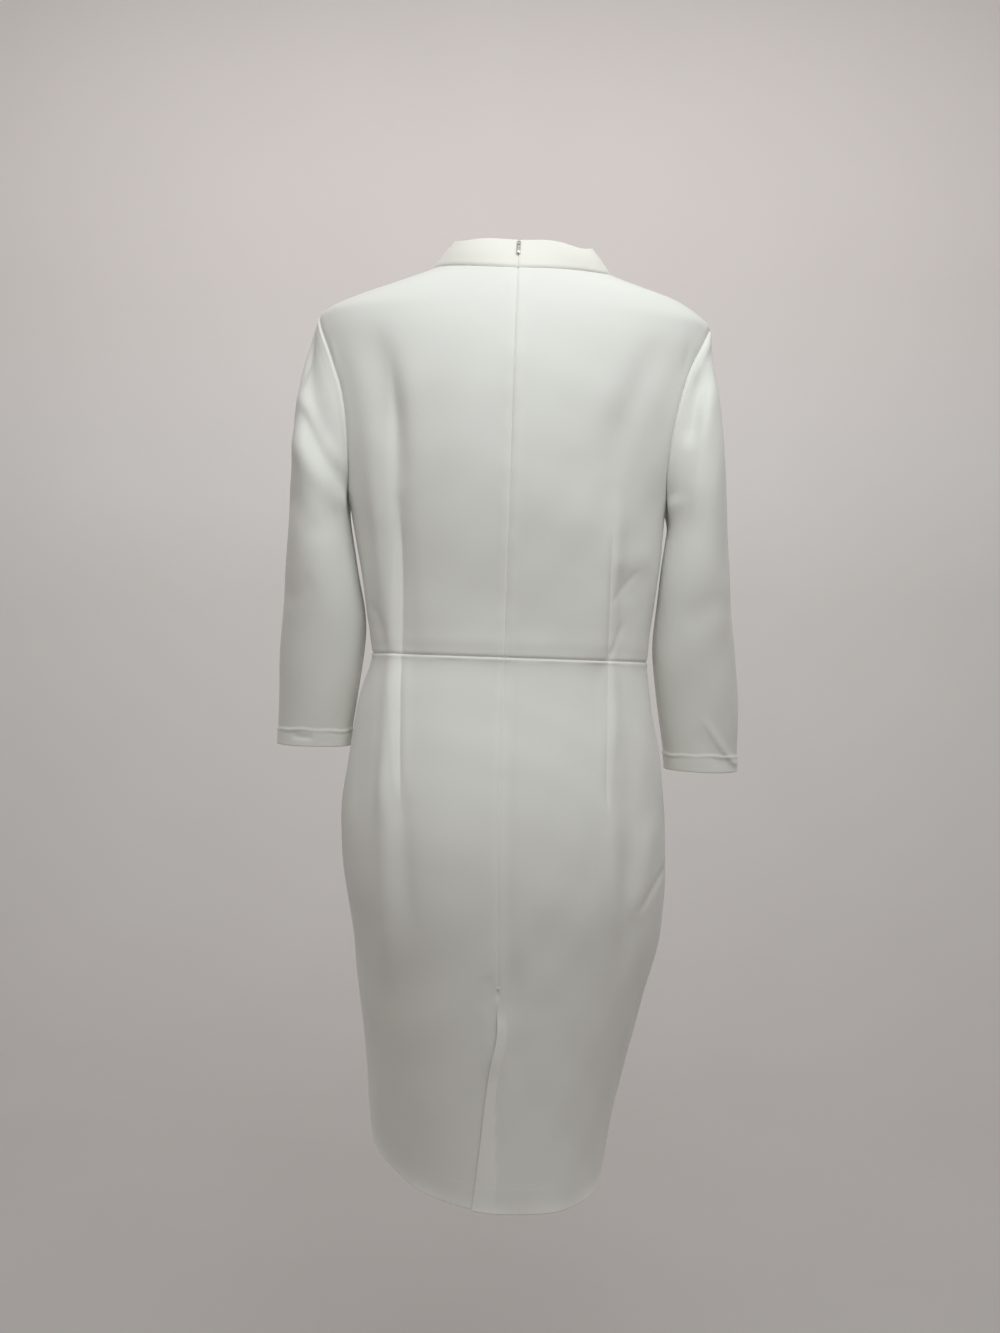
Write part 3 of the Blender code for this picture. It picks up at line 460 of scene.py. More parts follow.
# %% [markdown]
# ## Cloth as a thin closed shell
#
# A plane with a Solidify modifier would do, but it doubles every triangle on the side that
# nobody looks at. This shell keeps every point outside and every third one inside, and joins
# them round the edges with six-cornered faces, so it stays closed. A free edge, such as a
# hem, is a fold of cloth: it gets a round edge, worked out as half a circle between the two
# sides. At last the upright dress is leaned as shown and turned to metres.

# %% Shells
CLOTH, HEM_CLOTH = 1.6, 2.2
LEAN_DEG = 2.0
EDGE_TURNS = (90.0, 60.0, 30.0)  # the steps of a round edge, from its very end


def lean(points):
    """Turns the upright dress about the neck, so that it leans to the wearer's right."""
    angle = np.radians(LEAN_DEG)
    x = points[..., 0] * np.cos(angle) - points[..., 2] * np.sin(angle)
    z = points[..., 0] * np.sin(angle) + points[..., 2] * np.cos(angle)
    return np.stack([x, points[..., 1], z], axis=-1)


def widened(grid, bottom, first):
    """The grid with its bottom row or first column repeated for the steps of a round edge."""
    steps = len(EDGE_TURNS)
    rows = np.maximum(np.arange(grid.shape[0] + steps * bottom) - steps * bottom, 0)
    columns = np.maximum(np.arange(grid.shape[1] + steps * first) - steps * first, 0)
    return grid[rows][:, columns]


def edge_way(points, normals, axis):
    """The direction out of the grid over its bottom row (axis 0) or first column (axis 1)."""
    step = np.take(points, [0], axis) - np.take(points, [2], axis)
    normal = np.take(normals, [0], axis)
    return unit(step - normal * np.sum(step * normal, axis=-1, keepdims=True))


def bending(turns, count, rounded):
    """The turn of each of count rows or columns: the steps of a round edge, and then none."""
    return np.radians(np.pad(turns, (0, count - len(turns))) if rounded else np.zeros(count))


def two_sides(points, normals, thickness, bottom, first):
    """The outer and the inner grid of a piece of cloth. On a round edge both bend over: the
    half thickness shrinks as the cosine of their turns, and the edge moves out as the sine.
    Only the outer side has the very end."""
    half = np.broadcast_to(thickness, points.shape[:2])[..., None] / 2
    middle = points - normals * half
    down, out = edge_way(points, normals, 0), edge_way(points, normals, 1)
    middle, half, normals = (widened(g, bottom, first) for g in (middle, half, normals))
    rows, columns = middle.shape[:2]
    sides = []
    for sign, keep, last_turn in ((1.0, 1, EDGE_TURNS[0]), (-1.0, INNER_STEP, EDGE_TURNS[1])):
        turns = (last_turn, *EDGE_TURNS[1:])
        row_turn = bending(turns, rows, bottom)[:, None, None]
        column_turn = bending(turns, columns, first)[None, :, None]
        side = middle + normals * (sign * half * np.cos(row_turn) * np.cos(column_turn))
        if bottom:
            side = side + widened(down, False, first) * half * np.sin(row_turn)
        if first:
            side = side + widened(out, bottom, False) * half * np.sin(column_turn)
        sides.append(side[::keep, ::keep])
    return sides


def quads(numbers):
    """The four-cornered faces of a grid of corner numbers, one for each of its cells."""
    corners = (numbers[:-1, :-1], numbers[:-1, 1:], numbers[1:, 1:], numbers[1:, :-1])
    return np.stack(corners, axis=-1).reshape(-1, 4)


def rim(fine, coarse):
    """Six-cornered faces between an edge of the outer grid and one of the inner grid: four
    corners of the first, because the inner step is three, and two of the second."""
    step = INNER_STEP
    corners = (fine[:-1:step], fine[1::step], fine[2::step], fine[3::step])
    return np.stack([*corners, coarse[1:], coarse[:-1]], axis=-1)


def shell_faces(outer, inner, closed):
    """The faces of a shell from two grids of corner numbers, the inner with every third row
    and column of the outer. Quads cover both, and six-cornered faces join the open edges."""
    rims = [rim(outer[0], inner[0])[:, ::-1], rim(outer[-1], inner[-1])]
    if not closed:
        rims += [rim(outer[:, 0], inner[:, 0]), rim(outer[:, -1], inner[:, -1])[:, ::-1]]
    faces = [quads(outer), quads(inner)[:, ::-1], np.concatenate(rims)]
    return [row for group in faces for row in group.tolist()]


def signed_volume(points, faces):
    """A sixth of the sum of the triple products of the triangles that fan out each face."""
    triangles = np.array([(f[0], f[i], f[i + 1]) for f in faces for i in range(1, len(f) - 1)])
    a, b, c = (points[triangles[:, i]] for i in range(3))
    return np.einsum("ij,ij->i", a, np.cross(b, c)).sum() / 6


def add_mesh(name, points, faces, uv=None, uv_faces=None, layers_and_highlights=None):
    """A new object with its place in its mesh, from corner points in metres. Faces are turned
    round if they point inwards. The UV map has its own corner numbers."""
    if signed_volume(points, faces) < 0:
        faces = [face[::-1] for face in faces]
        uv_faces = None if uv_faces is None else [face[::-1] for face in uv_faces]
    mesh = bpy.data.meshes.new(name)
    mesh.from_pydata(points.tolist(), [], faces)
    if uv is not None:
        corners = np.concatenate([np.array(face) for face in uv_faces])
        layer = mesh.uv_layers.new(name="cloth")
        layer.data.foreach_set("uv", uv[corners].astype(np.float32).ravel())
    if layers_and_highlights is not None:
        # the share of doubled cloth and of painted highlight, which the crepe's colour reads
        attribute = mesh.attributes.new("layers_and_highlights", "FLOAT", "POINT")
        attribute.data.foreach_set("value", layers_and_highlights.astype(np.float32))
    mesh.shade_smooth()
    mesh.update()
    return put_in_scene(name, mesh)


def numbered(outer, inner):
    """Corner numbers for two grids of points: the outer grid row by row, then the inner one."""
    numbers = np.arange(outer[..., 0].size + inner[..., 0].size)
    outer_numbers, inner_numbers = np.split(numbers, [outer[..., 0].size])
    return outer_numbers.reshape(outer.shape[:2]), inner_numbers.reshape(inner.shape[:2])


def wrapped(numbers):
    """A grid of corner numbers with its first column again as its last, for a closed form."""
    return np.concatenate([numbers, numbers[:, :1]], axis=1)


def add_cloth(name, points, normals, thickness, layers_and_highlights, bottom=False, first=False, closed=False):
    """One piece of cloth from a grid of upright points in millimetres. The layer share is 1 where the
    cloth is doubled, and on the skirt also where a highlight is painted. A closed grid's last column
    repeats its first, with its own UVs."""
    step = INNER_STEP
    outer, inner = two_sides(points, normals, thickness, bottom, first)
    layers_and_highlights = widened(np.broadcast_to(layers_and_highlights, points.shape[:2]), bottom, first)
    uv = np.stack([widened(g, bottom, first) for g in lengths(points)], axis=-1) * MM
    uv = np.concatenate([uv.reshape(-1, 2), uv[::step, ::step].reshape(-1, 2)])
    uv_faces = shell_faces(*numbered(outer, inner), closed)
    if closed:
        outer, inner, layers_and_highlights = (grid[:, :-1] for grid in (outer, inner, layers_and_highlights))
    numbers = numbered(outer, inner)
    if closed:
        numbers = (wrapped(grid) for grid in numbers)
    faces = shell_faces(*numbers, closed)
    corners = np.concatenate([outer.reshape(-1, 3), inner.reshape(-1, 3)])
    layers_and_highlights = np.concatenate([layers_and_highlights.ravel(), layers_and_highlights[::step, ::step].ravel()])
    thing = add_mesh(name, lean(corners) * MM, faces, uv, uv_faces, layers_and_highlights)
    triangles = sum(len(face) - 2 for face in faces)
    print(f"{name}: {points.shape[0]} x {points.shape[1]} grid, {triangles} triangles")
    return thing


# %% [markdown]
# ## Seams, darts and hems
#
# A pressed seam lies in a narrow dip, because its allowances pull the cloth in, and the cloth
# swells a little beside it where they lie underneath. A dart is the same, but it dies away
# towards its tip, where the cloth has a small dimple. A blind hem shows as a soft step at the
# height where the turned-up edge ends, with a row of shallow dimples from its stitches.

# %% Seams
SIDE_SIGN = {"left": 1.0, "right": -1.0}
SEAMS = {
    # the depth and half width of a seam's dip, and the height and distance of its swelling
    "waist": (0.8, 1.0, 0.3, 4.0),
    "neck": (0.9, 0.9, 0.2, 3.0),
    "side": (0.9, 1.6, 0.25, 5.0),
    "armhole": (1.0, 1.3, 0.3, 6.0),
    "zip": (1.1, 1.2, 0.0, 5.0),
    "centre": (1.0, 1.3, 0.2, 5.0),
    "underarm": (0.8, 1.4, 0.2, 5.0),
    "collar": (0.9, 0.9, 0.3, 3.5),
}


def swelling(distance, top):
    """0 at a seam and 1 at its top beside it: t * exp(1 - t), t being (distance / top)
    squared."""
    t = (distance / top) ** 2
    return t * np.exp(1 - t)


def seam_dip(name, distance):
    """The bell-shaped dip of a seam, at a distance from it."""
    depth, half_width = SEAMS[name][:2]
    return -depth * bell(distance, half_width)


def seam_swell(name, distance):
    """The swelling of the cloth beside a seam."""
    height, top = SEAMS[name][2:]
    return height * swelling(distance, top)


def seam(name, distance):
    """The cloth's rise at a distance from a seam: its dip and the swelling beside it."""
    return seam_dip(name, distance) + seam_swell(name, distance)


def allowance(distance, width=9.0, soft=1.2):
    """1 within a width of a seam, where its allowances double the cloth, and 0 further off."""
    return 1 - ease(distance, width - soft, width + soft)


print("the side seam dips", round(-float(seam("side", 0.0)), 2), "mm")

# %% [markdown]
# A dart is a straight line from its foot at a seam to its tip. Two measures tell where a point
# is to it: how far across the line it lies, and which share of the way to the tip it is at.

# %% Darts
DART = {"half_width": 1.5, "top": 6.0, "start": (-0.001, 0.0), "end": (0.72, 1.02)}
DART_DIMPLE = {"depth": 0.5, "half_width": 5.0, "half_height": 9.0}
DART_CLOTH = {"power": 0.6, "soft_line": 0.4, "soft_edge": 1.8, "end": (0.8, 1.0)}


def dart_line(ends, z):
    """x on a dart's line at height z: straight through its foot and its tip."""
    (foot_x, foot_z), (tip_x, tip_z) = ends
    return foot_x + (tip_x - foot_x) * (z - foot_z) / (tip_z - foot_z)


def dart_place(ends, points):
    """How far across a dart's line each point lies, and its share of the way to the tip."""
    (_, foot_z), (_, tip_z) = ends
    z = points[..., 2]
    return points[..., 0] - dart_line(ends, z), (z - foot_z) / (tip_z - foot_z)


def dart(ends, points, depth, swell):
    """The rise round a dart: a bell-shaped dip and a swelling beside it, which fade towards
    the tip, and past it a dimple, a bell in both directions."""
    across, share = dart_place(ends, points)
    rise = swell * swelling(across, DART["top"]) - depth * bell(across, DART["half_width"])
    rise = rise * ease(share, *DART["start"]) * (1 - ease(share, *DART["end"]))
    past_tip = (points[..., 2] - ends[1][1]) / DART_DIMPLE["half_height"]
    past_tip = np.hypot(across / DART_DIMPLE["half_width"], past_tip)
    return rise - DART_DIMPLE["depth"] * bell(past_tip, 1.0)


def dart_cloth(ends, points, side, width):
    """1 where a dart's folded cloth lies beside its line, towards the side: a long triangle
    whose width is a power of the share that is left to the tip."""
    across, share = dart_place(ends, points)
    across = across * SIDE_SIGN[side]
    width = width * np.clip(1 - share, 0.0, 1.0) ** DART_CLOTH["power"]
    soft_line, soft_edge = DART_CLOTH["soft_line"], DART_CLOTH["soft_edge"]
    here = ease(across, -soft_line, soft_line)
    here = here * (1 - ease(across, width - soft_edge, width + soft_edge))
    return here * ease(share, *DART["start"]) * (1 - ease(share, *DART_CLOTH["end"]))


print("a dart's dimple:", DART_DIMPLE["depth"], "mm deep")

# %% [markdown]
# A hem hangs free at its lower edge, so it flares there, and the turned-up cloth behind it
# ends in a step. The skirt's is deep and soft. The cuff's is narrow and pressed.

# %% Hems
SKIRT_HEM = {"rise": 0.12, "flare": 1.5, "pitch": 7.0, "soft": (2.0, 5.0)}
CUFF_HEM = {"rise": 0.7, "flare": 0.9, "pitch": 6.0, "soft": (0.8, 1.4)}
HEM_WAVES = ((0.35, 19.0, 0.8), (0.2, 11.0, 0.0))
HEM_FLARE_REACH = 8.0
HEM_STITCH = {"depth": 0.15, "half_width": 1.7, "half_height": 1.8}


def hem(up, along, height, rise, flare, pitch, soft):
    """A turned-up hem from outside: the doubled cloth rises a little up to a step at its
    height, with a bell-shaped dimple at every stitch, and flares out as an exponential
    towards its edge, more at some places than at others."""
    doubled = rise * (1 - ease(up, height - soft[0], height + soft[1]))
    stitch = bell(((along / pitch) % 1.0 - 0.5) * pitch, HEM_STITCH["half_width"])
    stitch = HEM_STITCH["depth"] * stitch * bell(up - height, HEM_STITCH["half_height"])
    uneven = 1 + waves(along, HEM_WAVES)
    return doubled + flare * uneven * np.exp(-up / HEM_FLARE_REACH) - stitch


print("stitches in 100 mm of the skirt's hem:", round(100 / SKIRT_HEM["pitch"]))

# %% [markdown]
# ## The sleeves' form
#
# A set-in sleeve starts at the armhole, where the two normals of bodice and sleeve differ. Its
# cap is a cubic curve from each point of the armhole: it leaves outwards and meets the lower
# sleeve straight. The lower sleeve is an ellipse at each height. The grid is then settled, row
# against row, so that no band shows where the two meet.

# %% Sleeve form
ARMHOLE_BACK_DEG, ARMHOLE_FRONT_DEG = 27.0, 33.0
ARMHOLE_MIDDLE, ARMHOLE_REACH = (SHOULDER_Z + UNDERARM_Z) / 2, (SHOULDER_Z - UNDERARM_Z) / 2
ARMHOLE_SAMPLES, ARMHOLE_GROUPS = 361, 40  # points on its line, groups of grid points
TUBE_STEP, SLEEVE_STEP, BESIDE_ARMHOLE = 5.0, 0.004, 0.03
SLEEVE_JOIN_Z = -262.0
CAP_SPREAD = {"left": 0.30, "right": 0.10}
CAP_SPREAD_UNDER, CAP_SPREAD_FACES = 0.14, 0.72
CAP_BULGE, CAP_FALL, CAP_REACH = 0.30, 0.90, 0.36
SLEEVES = {
    # z, outer, inner, middle, half depth
    "left": np.array([
        (-262, 228, 165.5, -2, 58),
        (-300, 229.5, 158, -3, 56),
        (-336, 231.5, 151, -6, 53.5),
        (-369, 233.5, 145.5, -10, 51),
        (-406, 235, 148.5, -15, 48),
        (-455, 236.5, 156, -21, 43),
        (-495, 235.5, 160, -25, 39.5),
    ]),
    "right": np.array([
        (-262, 226.5, 165, -2, 58),
        (-297, 229, 160.5, -3, 56),
        (-347, 235, 156, -8, 52.5),
        (-386, 240.5, 155, -13, 49),
        (-425, 245.5, 160, -18, 46),
        (-462, 248, 166, -22, 42.5),
        (-508, 248.5, 174.5, -27, 38.5),
    ]),
}
SLEEVE_BLUR = 11.0
SLEEVE_CURVES = {
    side: [softened(rows[:, 0], column, SLEEVE_BLUR + 0 * HEIGHTS) for column in rows.T[1:]]
    for side, rows in SLEEVES.items()
}


def armhole_deg(z, half):
    """The angle at which a bodice panel ends along the armhole, half an ellipse in angle and
    height, and 90 below and above it."""
    share = np.clip((z - ARMHOLE_MIDDLE) / ARMHOLE_REACH, -1.0, 1.0)
    most = ARMHOLE_BACK_DEG if half == "back" else ARMHOLE_FRONT_DEG
    return 90.0 - most * np.sqrt(1 - share**2)


def armhole_angles(side, turn):
    """The body's angle and height at a turn round the armhole: 0 at the shoulder point, 90
    behind, 180 under the arm and -90 in front."""
    z = ARMHOLE_MIDDLE + ARMHOLE_REACH * np.cos(np.radians(turn))
    reach = np.sin(np.radians(turn))
    most = np.where(reach > 0, ARMHOLE_BACK_DEG, ARMHOLE_FRONT_DEG)
    return (90.0 - most * reach) * SIDE_SIGN[side], z


def tube(side, turn, z):
    """A sleeve below its cap: an ellipse at each height, by the cosine and sine of the turn."""
    outer, inner, middle, half_depth = (np.interp(z, HEIGHTS, c) for c in SLEEVE_CURVES[side])
    across, along = np.cos(np.radians(turn)), np.sin(np.radians(turn))
    x = (outer + inner) / 2 + (outer - inner) / 2 * across
    return np.stack([x * SIDE_SIGN[side], middle + half_depth * along, z + 0 * x], axis=-1)


def plain_sleeve(side, turn, v):
    """A sleeve without folds. v from 0 to 1 is the cap, a cubic from a point of the armhole to
    one of the tube, with a reach and a direction at each end. From 1 to 2 it is the tube."""
    start = body(*armhole_angles(side, turn))
    end = tube(side, turn, SLEEVE_JOIN_Z + 0 * turn)
    straight = unit(end - tube(side, turn, SLEEVE_JOIN_Z - TUBE_STEP + 0 * turn))
    reach = np.linalg.norm(end - start, axis=-1, keepdims=True) * CAP_REACH
    outermost = np.cos(np.radians(turn))
    at_ends = np.where(outermost > 0, CAP_SPREAD[side], CAP_SPREAD_UNDER)
    sideways = at_ends * outermost**2 + CAP_SPREAD_FACES * (1 - outermost**2)
    leave = (SIDE_SIGN[side] * sideways, CAP_BULGE * np.sin(np.radians(turn)), -CAP_FALL + 0 * turn)
    t = np.clip(v, 0.0, 1.0)[..., None]
    cap = start * (1 - t) ** 3 + end * t**3
    cap = cap + 3 * (start + np.stack(leave, axis=-1) * reach) * t * (1 - t) ** 2
    cap = cap + 3 * (end + straight * reach) * t**2 * (1 - t)
    fall = SLEEVES[side][-1, 0] - SLEEVE_JOIN_Z
    lower = tube(side, turn, SLEEVE_JOIN_Z + fall * (v - 1.0))
    return np.where((v <= 1.0)[..., None], cap, lower)


def sleeve_normal(side, turn, v):
    """The unit normal of the plain sleeve from its slopes, pointing out on both sides of the
    body."""
    h, k = DERIVATIVE_STEP, SLEEVE_STEP
    around = plain_sleeve(side, turn + h, v) - plain_sleeve(side, turn - h, v)
    high, low = np.clip(v + k, 0.0, 2.0), np.clip(v - k, 0.0, 2.0)
    downwards = plain_sleeve(side, turn, high) - plain_sleeve(side, turn, low)
    return unit(np.cross(downwards, around) * SIDE_SIGN[side])


def armhole_normal(side, turn):
    """The direction midway between the bodice's normal and the sleeve's at the armhole, along
    which both pieces dip into the seam."""
    deg, z = armhole_angles(side, turn)
    return unit(body_normal(deg, z) + sleeve_normal(side, turn, BESIDE_ARMHOLE + 0 * turn))


def nearest_armhole(points, side, half):
    """For the points of a bodice panel: their distance from the armhole's line, and the
    direction of its dip there. Each takes the nearest of many points on the line."""
    turn = np.linspace(0.0, 180.0, ARMHOLE_SAMPLES) * (1.0 if half == "back" else -1.0)
    line, ways = body(*armhole_angles(side, turn)), armhole_normal(side, turn)
    distance, way = [], []
    for some in np.array_split(points.reshape(-1, 3), ARMHOLE_GROUPS):
        gaps = np.linalg.norm(some[:, None, :] - line[None, :, :], axis=-1)
        distance.append(gaps.min(axis=1))
        way.append(ways[gaps.argmin(axis=1)])
    distance, way = np.concatenate(distance), np.concatenate(way)
    return distance.reshape(points.shape[:2]), way.reshape(points.shape)


turns = np.linspace(-180.0, 180.0, 400)
girth = np.linalg.norm(np.diff(body(*armhole_angles("left", turns)), axis=0), axis=-1).sum()
print("armhole girth:", round(float(girth)), "mm")


# %% [markdown]
# ## The bodice
#
# The bodice is three panels: two backs, parted by the zip, and one front. The grid's columns
# run from the waist up to the neckline. One of them follows the waist dart, so that its line
# stays crisp, and the rest give way to the armhole. The rows turn to the neckline near the
# top, and in front they slope along the bust darts.

# %% Bodice form
BACK_NECK_Z, FRONT_NECK_Z, NECK_POWER = -10.0, -62.0, 1.6
NECK_DROP = {"turn": -62.0, "reach": 20.0, "depth": 3.5}
NECK_REACH_Z = {"back": -70.0, "front": -200.0}
SHOULDER_SEAM, PANEL_WIDTH = 128.0, 215.0
COLUMN_GIVE = 1.7
BODICE_DARTS = {
    # at the foot and at the tip: x, z
    ("back", "left"): ((103.0, -397.0), (111.0, -252.0)),
    ("back", "right"): ((-101.5, -397.0), (-99.5, -262.0)),
    ("front", "left"): ((72.0, -397.0), (80.0, -268.0)),
    ("front", "right"): ((-74.0, -397.0), (-82.0, -268.0)),
}
DART_COLUMN = 0.5  # the share of a panel's width at which the dart's column lies
SPREAD_DEG = 45.0  # where that column lies away from the dart
BODICE_SPREAD_Z = -110.0
BUST_DART = {"tip_x": 108.0, "tip_z": -264.0, "drop": 26.0, "slope": (0.55, 1.0), "reach": 60.0}


def turned(turn):
    """A turn brought to between -180 and 180 degrees."""
    return (turn + 180.0) % 360.0 - 180.0


def neckline(turn):
    """The angle and height of the neckline at a turn, 0 behind, 90 at the left and 180 in
    front. Its height falls by a power of the cosine, and in a bell at one side."""
    across, along = np.abs(np.sin(np.radians(turn))), np.cos(np.radians(turn))
    lowest = np.where(along > 0, BACK_NECK_Z, FRONT_NECK_Z)
    z = lowest * np.abs(along) ** NECK_POWER
    z = z - NECK_DROP["depth"] * bell(turned(turn - NECK_DROP["turn"]), NECK_DROP["reach"])
    half_turns = np.round(turn / 180.0)
    past = turn - 180.0 * half_turns
    on_left = np.sin(np.radians(turn)) > 0
    neck_half = np.where(on_left, body_size("left", 0 * z), body_size("right", 0 * z))
    here_half = np.where(on_left, body_size("left", z), body_size("right", z))
    deg = np.degrees(np.arcsin(np.clip(neck_half * across / here_half, 0.0, 1.0)))
    return 180.0 * half_turns + np.sign(past) * deg, z


def bodice_rows():
    """Row heights from the waist up: to the underarm, then as the armhole turns, then along
    the shoulder seam, closer at the waist, the bust dart and the neckline."""
    below, armhole = UNDERARM_Z - WAIST_Z, np.pi * ARMHOLE_REACH
    whole = below + armhole + SHOULDER_SEAM
    spots = [(0.0, "waist"), (BUST_DART["tip_z"] - WAIST_Z, "bust_dart"), (whole, "neckline")]
    place = stations(whole, spots)
    turn = np.pi - (np.clip(place, below, below + armhole) - below) / ARMHOLE_REACH
    z = WAIST_Z + np.minimum(place, below) + ARMHOLE_REACH * (1 + np.cos(turn))
    return z - SHOULDER_Z * np.maximum(place - below - armhole, 0.0) / SHOULDER_SEAM


def panel_columns():
    """Shares of half a panel's width for its columns, close at the centre, dart and side."""
    spots = [(0.0, "centre"), (DART_COLUMN * PANEL_WIDTH, "dart"), (PANEL_WIDTH, "side")]
    return stations(PANEL_WIDTH, spots)[None, :] / PANEL_WIDTH


def dart_deg(ends, z, spread_z):
    """The angle of the column that follows a dart, counted from the panel's centre: the
    dart's own up to its tip, easing to half way to the side at spread_z."""
    (_, foot_z), (_, tip_z) = ends
    on_dart = np.clip(z, min(foot_z, tip_z), max(foot_z, tip_z))
    own = np.abs(body_deg(dart_line(ends, on_dart), on_dart))
    return own + (SPREAD_DEG - own) * ease(z, tip_z, spread_z)


def panel_deg(share, start, at_dart):
    """Angles over half a panel's width: even steps from its start to the dart's column, and
    even steps from there to the side at 90."""
    inner = start + (at_dart - start) * share / DART_COLUMN
    outer = at_dart + (90.0 - at_dart) * (share - DART_COLUMN) / (1 - DART_COLUMN)
    return np.where(share < DART_COLUMN, inner, outer)


def centre_and_way(half, side):
    """The angle of a panel's centre line, and the sign of its angles towards the side."""
    sign = SIDE_SIGN[side]
    return (0.0, sign) if half == "back" else (180.0 * sign, -sign)


def bodice_grid(half, side, share):
    """Angles and heights of half a bodice panel, from the centre (share 0) to the side (1).
    Columns give way to the armhole by a power of their share, the rows near the top move over
    to the neckline, and in front they slope down along the bust dart."""
    row = bodice_rows()[:, None]
    along_armhole = (row > UNDERARM_Z) & (row < SHOULDER_Z)
    edge = np.where(along_armhole, armhole_deg(row, half), 90.0)
    at_dart = dart_deg(BODICE_DARTS[half, side], row, BODICE_SPREAD_Z)
    centre, way = centre_and_way(half, side)
    straight = centre + way * panel_deg(share, 0.0, at_dart)
    neck_deg, neck_z = neckline(centre + way * 90.0 * share)
    near_neck = ease(row, NECK_REACH_Z[half], 0.0)
    give_way = (90.0 - edge) * share**COLUMN_GIVE
    deg = straight - way * give_way + near_neck * (neck_deg - straight)
    z = row + near_neck * neck_z
    if half == "front":
        slope = BUST_DART["drop"] * ease(share, *BUST_DART["slope"])
        slope = slope * bell(row - BUST_DART["tip_z"], BUST_DART["reach"])
        z = z - slope * ease(row, WAIST_Z, WAIST_Z + BUST_DART["reach"])
    return deg, z


print("rows:", len(bodice_rows()), "columns:", panel_columns().size)

# %% [markdown]
# The grids are now raised: by the body's relief, by the seams round the panel, by its darts,
# and by the dip into the armhole, which has its own direction. Behind, the closed zip stiffens
# the centre seam, so the cloth beside it stands in a narrow flat strip with slight waves.

# %% Bodice pieces
ZIP_STRIP = {"half": 9.0, "soft_in": 3.0, "soft_out": 2.5, "rise": 0.45}
ZIP_STRIP_WAVES = ((0.14, 37.0 / (2 * np.pi), 0.0), (0.14, 23.0, 1.0))
ZIP_STRIP_FADE = (12.0, 30.0)  # below the neckline
WAIST_DART = {"depth": 0.9, "swell": 0.7}
BUST_DIP = {"depth": 0.9, "half_width": 1.5, "swell": 0.5, "top": 6.0, "fade": (-2.0, 12.0)}
ARMHOLE_BLEND = 4.0
STRIKE_THROUGH = 0.2  # how far doubled cloth stands out
BODICE_DOUBLED = {"dart": 0.5, "waist": 0.3, "side": 0.4, "tape": 0.14, "zip": (0.2, 0.7)}
BODICE_DART_CLOTH, WAIST_ALLOWANCE, ZIP_ALLOWANCE = 12.0, 4.0, 1.6
TAPE_ALLOWANCE = (11.0, 4.0)
ZIP_DARKENS = (150.0, 260.0)


def most(*shares):
    """The greatest of several shares at every point."""
    return np.max(np.stack(np.broadcast_arrays(*shares)), axis=0)


def zip_strip(along, z):
    """The strip of cloth that lies on the zip's tape: a little proud, with smooth edges, and
    slightly waved."""
    edge = ZIP_STRIP["half"]
    shape = 1 - ease(along, edge - ZIP_STRIP["soft_in"], edge + ZIP_STRIP["soft_out"])
    return shape * (ZIP_STRIP["rise"] + waves(z, ZIP_STRIP_WAVES))


def bust_dart(points, side):
    """The dip of the dart from the side seam towards the bust and the swelling beside it,
    round a line that drops evenly to the side. Both fade at its tip."""
    x, z = points[..., 0] * SIDE_SIGN[side], points[..., 2]
    tip_x, tip_z = BUST_DART["tip_x"], BUST_DART["tip_z"]
    past = np.clip(x - tip_x, 0.0, None) / (body_size(side, tip_z) - tip_x)
    off_line = z - tip_z + BUST_DART["drop"] * past
    rise = BUST_DIP["swell"] * swelling(off_line, BUST_DIP["top"])
    rise = rise - BUST_DIP["depth"] * bell(off_line, BUST_DIP["half_width"])
    fade_in, fade_out = BUST_DIP["fade"]
    return rise * ease(x, tip_x + fade_in, tip_x + fade_out)


def raise_bodice(half, side, deg, z):
    """The points, normals and layers of half a bodice panel: the body with its relief, raised
    by its dart, its seams and the doubled cloth, and dipped into the armhole's seam."""
    plain, normal = plain_body(deg, z), body_normal(deg, z)
    points = raised(plain, normal, body_relief(plain, normal))
    along, up = lengths(points)
    to_side = along[:, -1:] - along
    on_side = np.where((z[:, -1:] > UNDERARM_Z) & (z[:, -1:] < SHOULDER_Z), 0.0, 1.0)
    distance, ways = nearest_armhole(points, side, half)
    ends, shares = BODICE_DARTS[half, side], BODICE_DOUBLED
    rise = dart(ends, plain, **WAIST_DART) + seam("waist", up) + seam("neck", up[-1:] - up)
    rise = rise + on_side * seam("side", to_side) + seam_swell("armhole", distance)
    layers_and_highlights = most(
        shares["dart"] * dart_cloth(ends, plain, side, BODICE_DART_CLOTH),
        shares["waist"] * allowance(up, WAIST_ALLOWANCE),
        shares["side"] * on_side * allowance(to_side),
    )
    if half == "front":
        rise = rise + bust_dart(plain, side)
    else:
        rise = rise + seam("zip", along) + zip_strip(along, z) * ease(-z, *ZIP_STRIP_FADE)
        high, more = shares["zip"]
        seam_share = high + more * ease(-z, *ZIP_DARKENS)
        at_tape = shares["tape"] * allowance(along, *TAPE_ALLOWANCE)
        layers_and_highlights = most(layers_and_highlights, at_tape, seam_share * allowance(along, ZIP_ALLOWANCE))
    near = bell(distance, ARMHOLE_BLEND)[..., None]
    points = raised(points, normal, rise + STRIKE_THROUGH * layers_and_highlights)
    points = raised(points, ways, seam_dip("armhole", distance))
    return points, unit(normal * (1 - near) + ways * near), layers_and_highlights


def both_halves(left, right):
    """One grid from the two halves of a front panel, which share its centre column."""
    return (np.concatenate([a[:, ::-1], b[:, 1:]], axis=1) for a, b in zip(left, right))


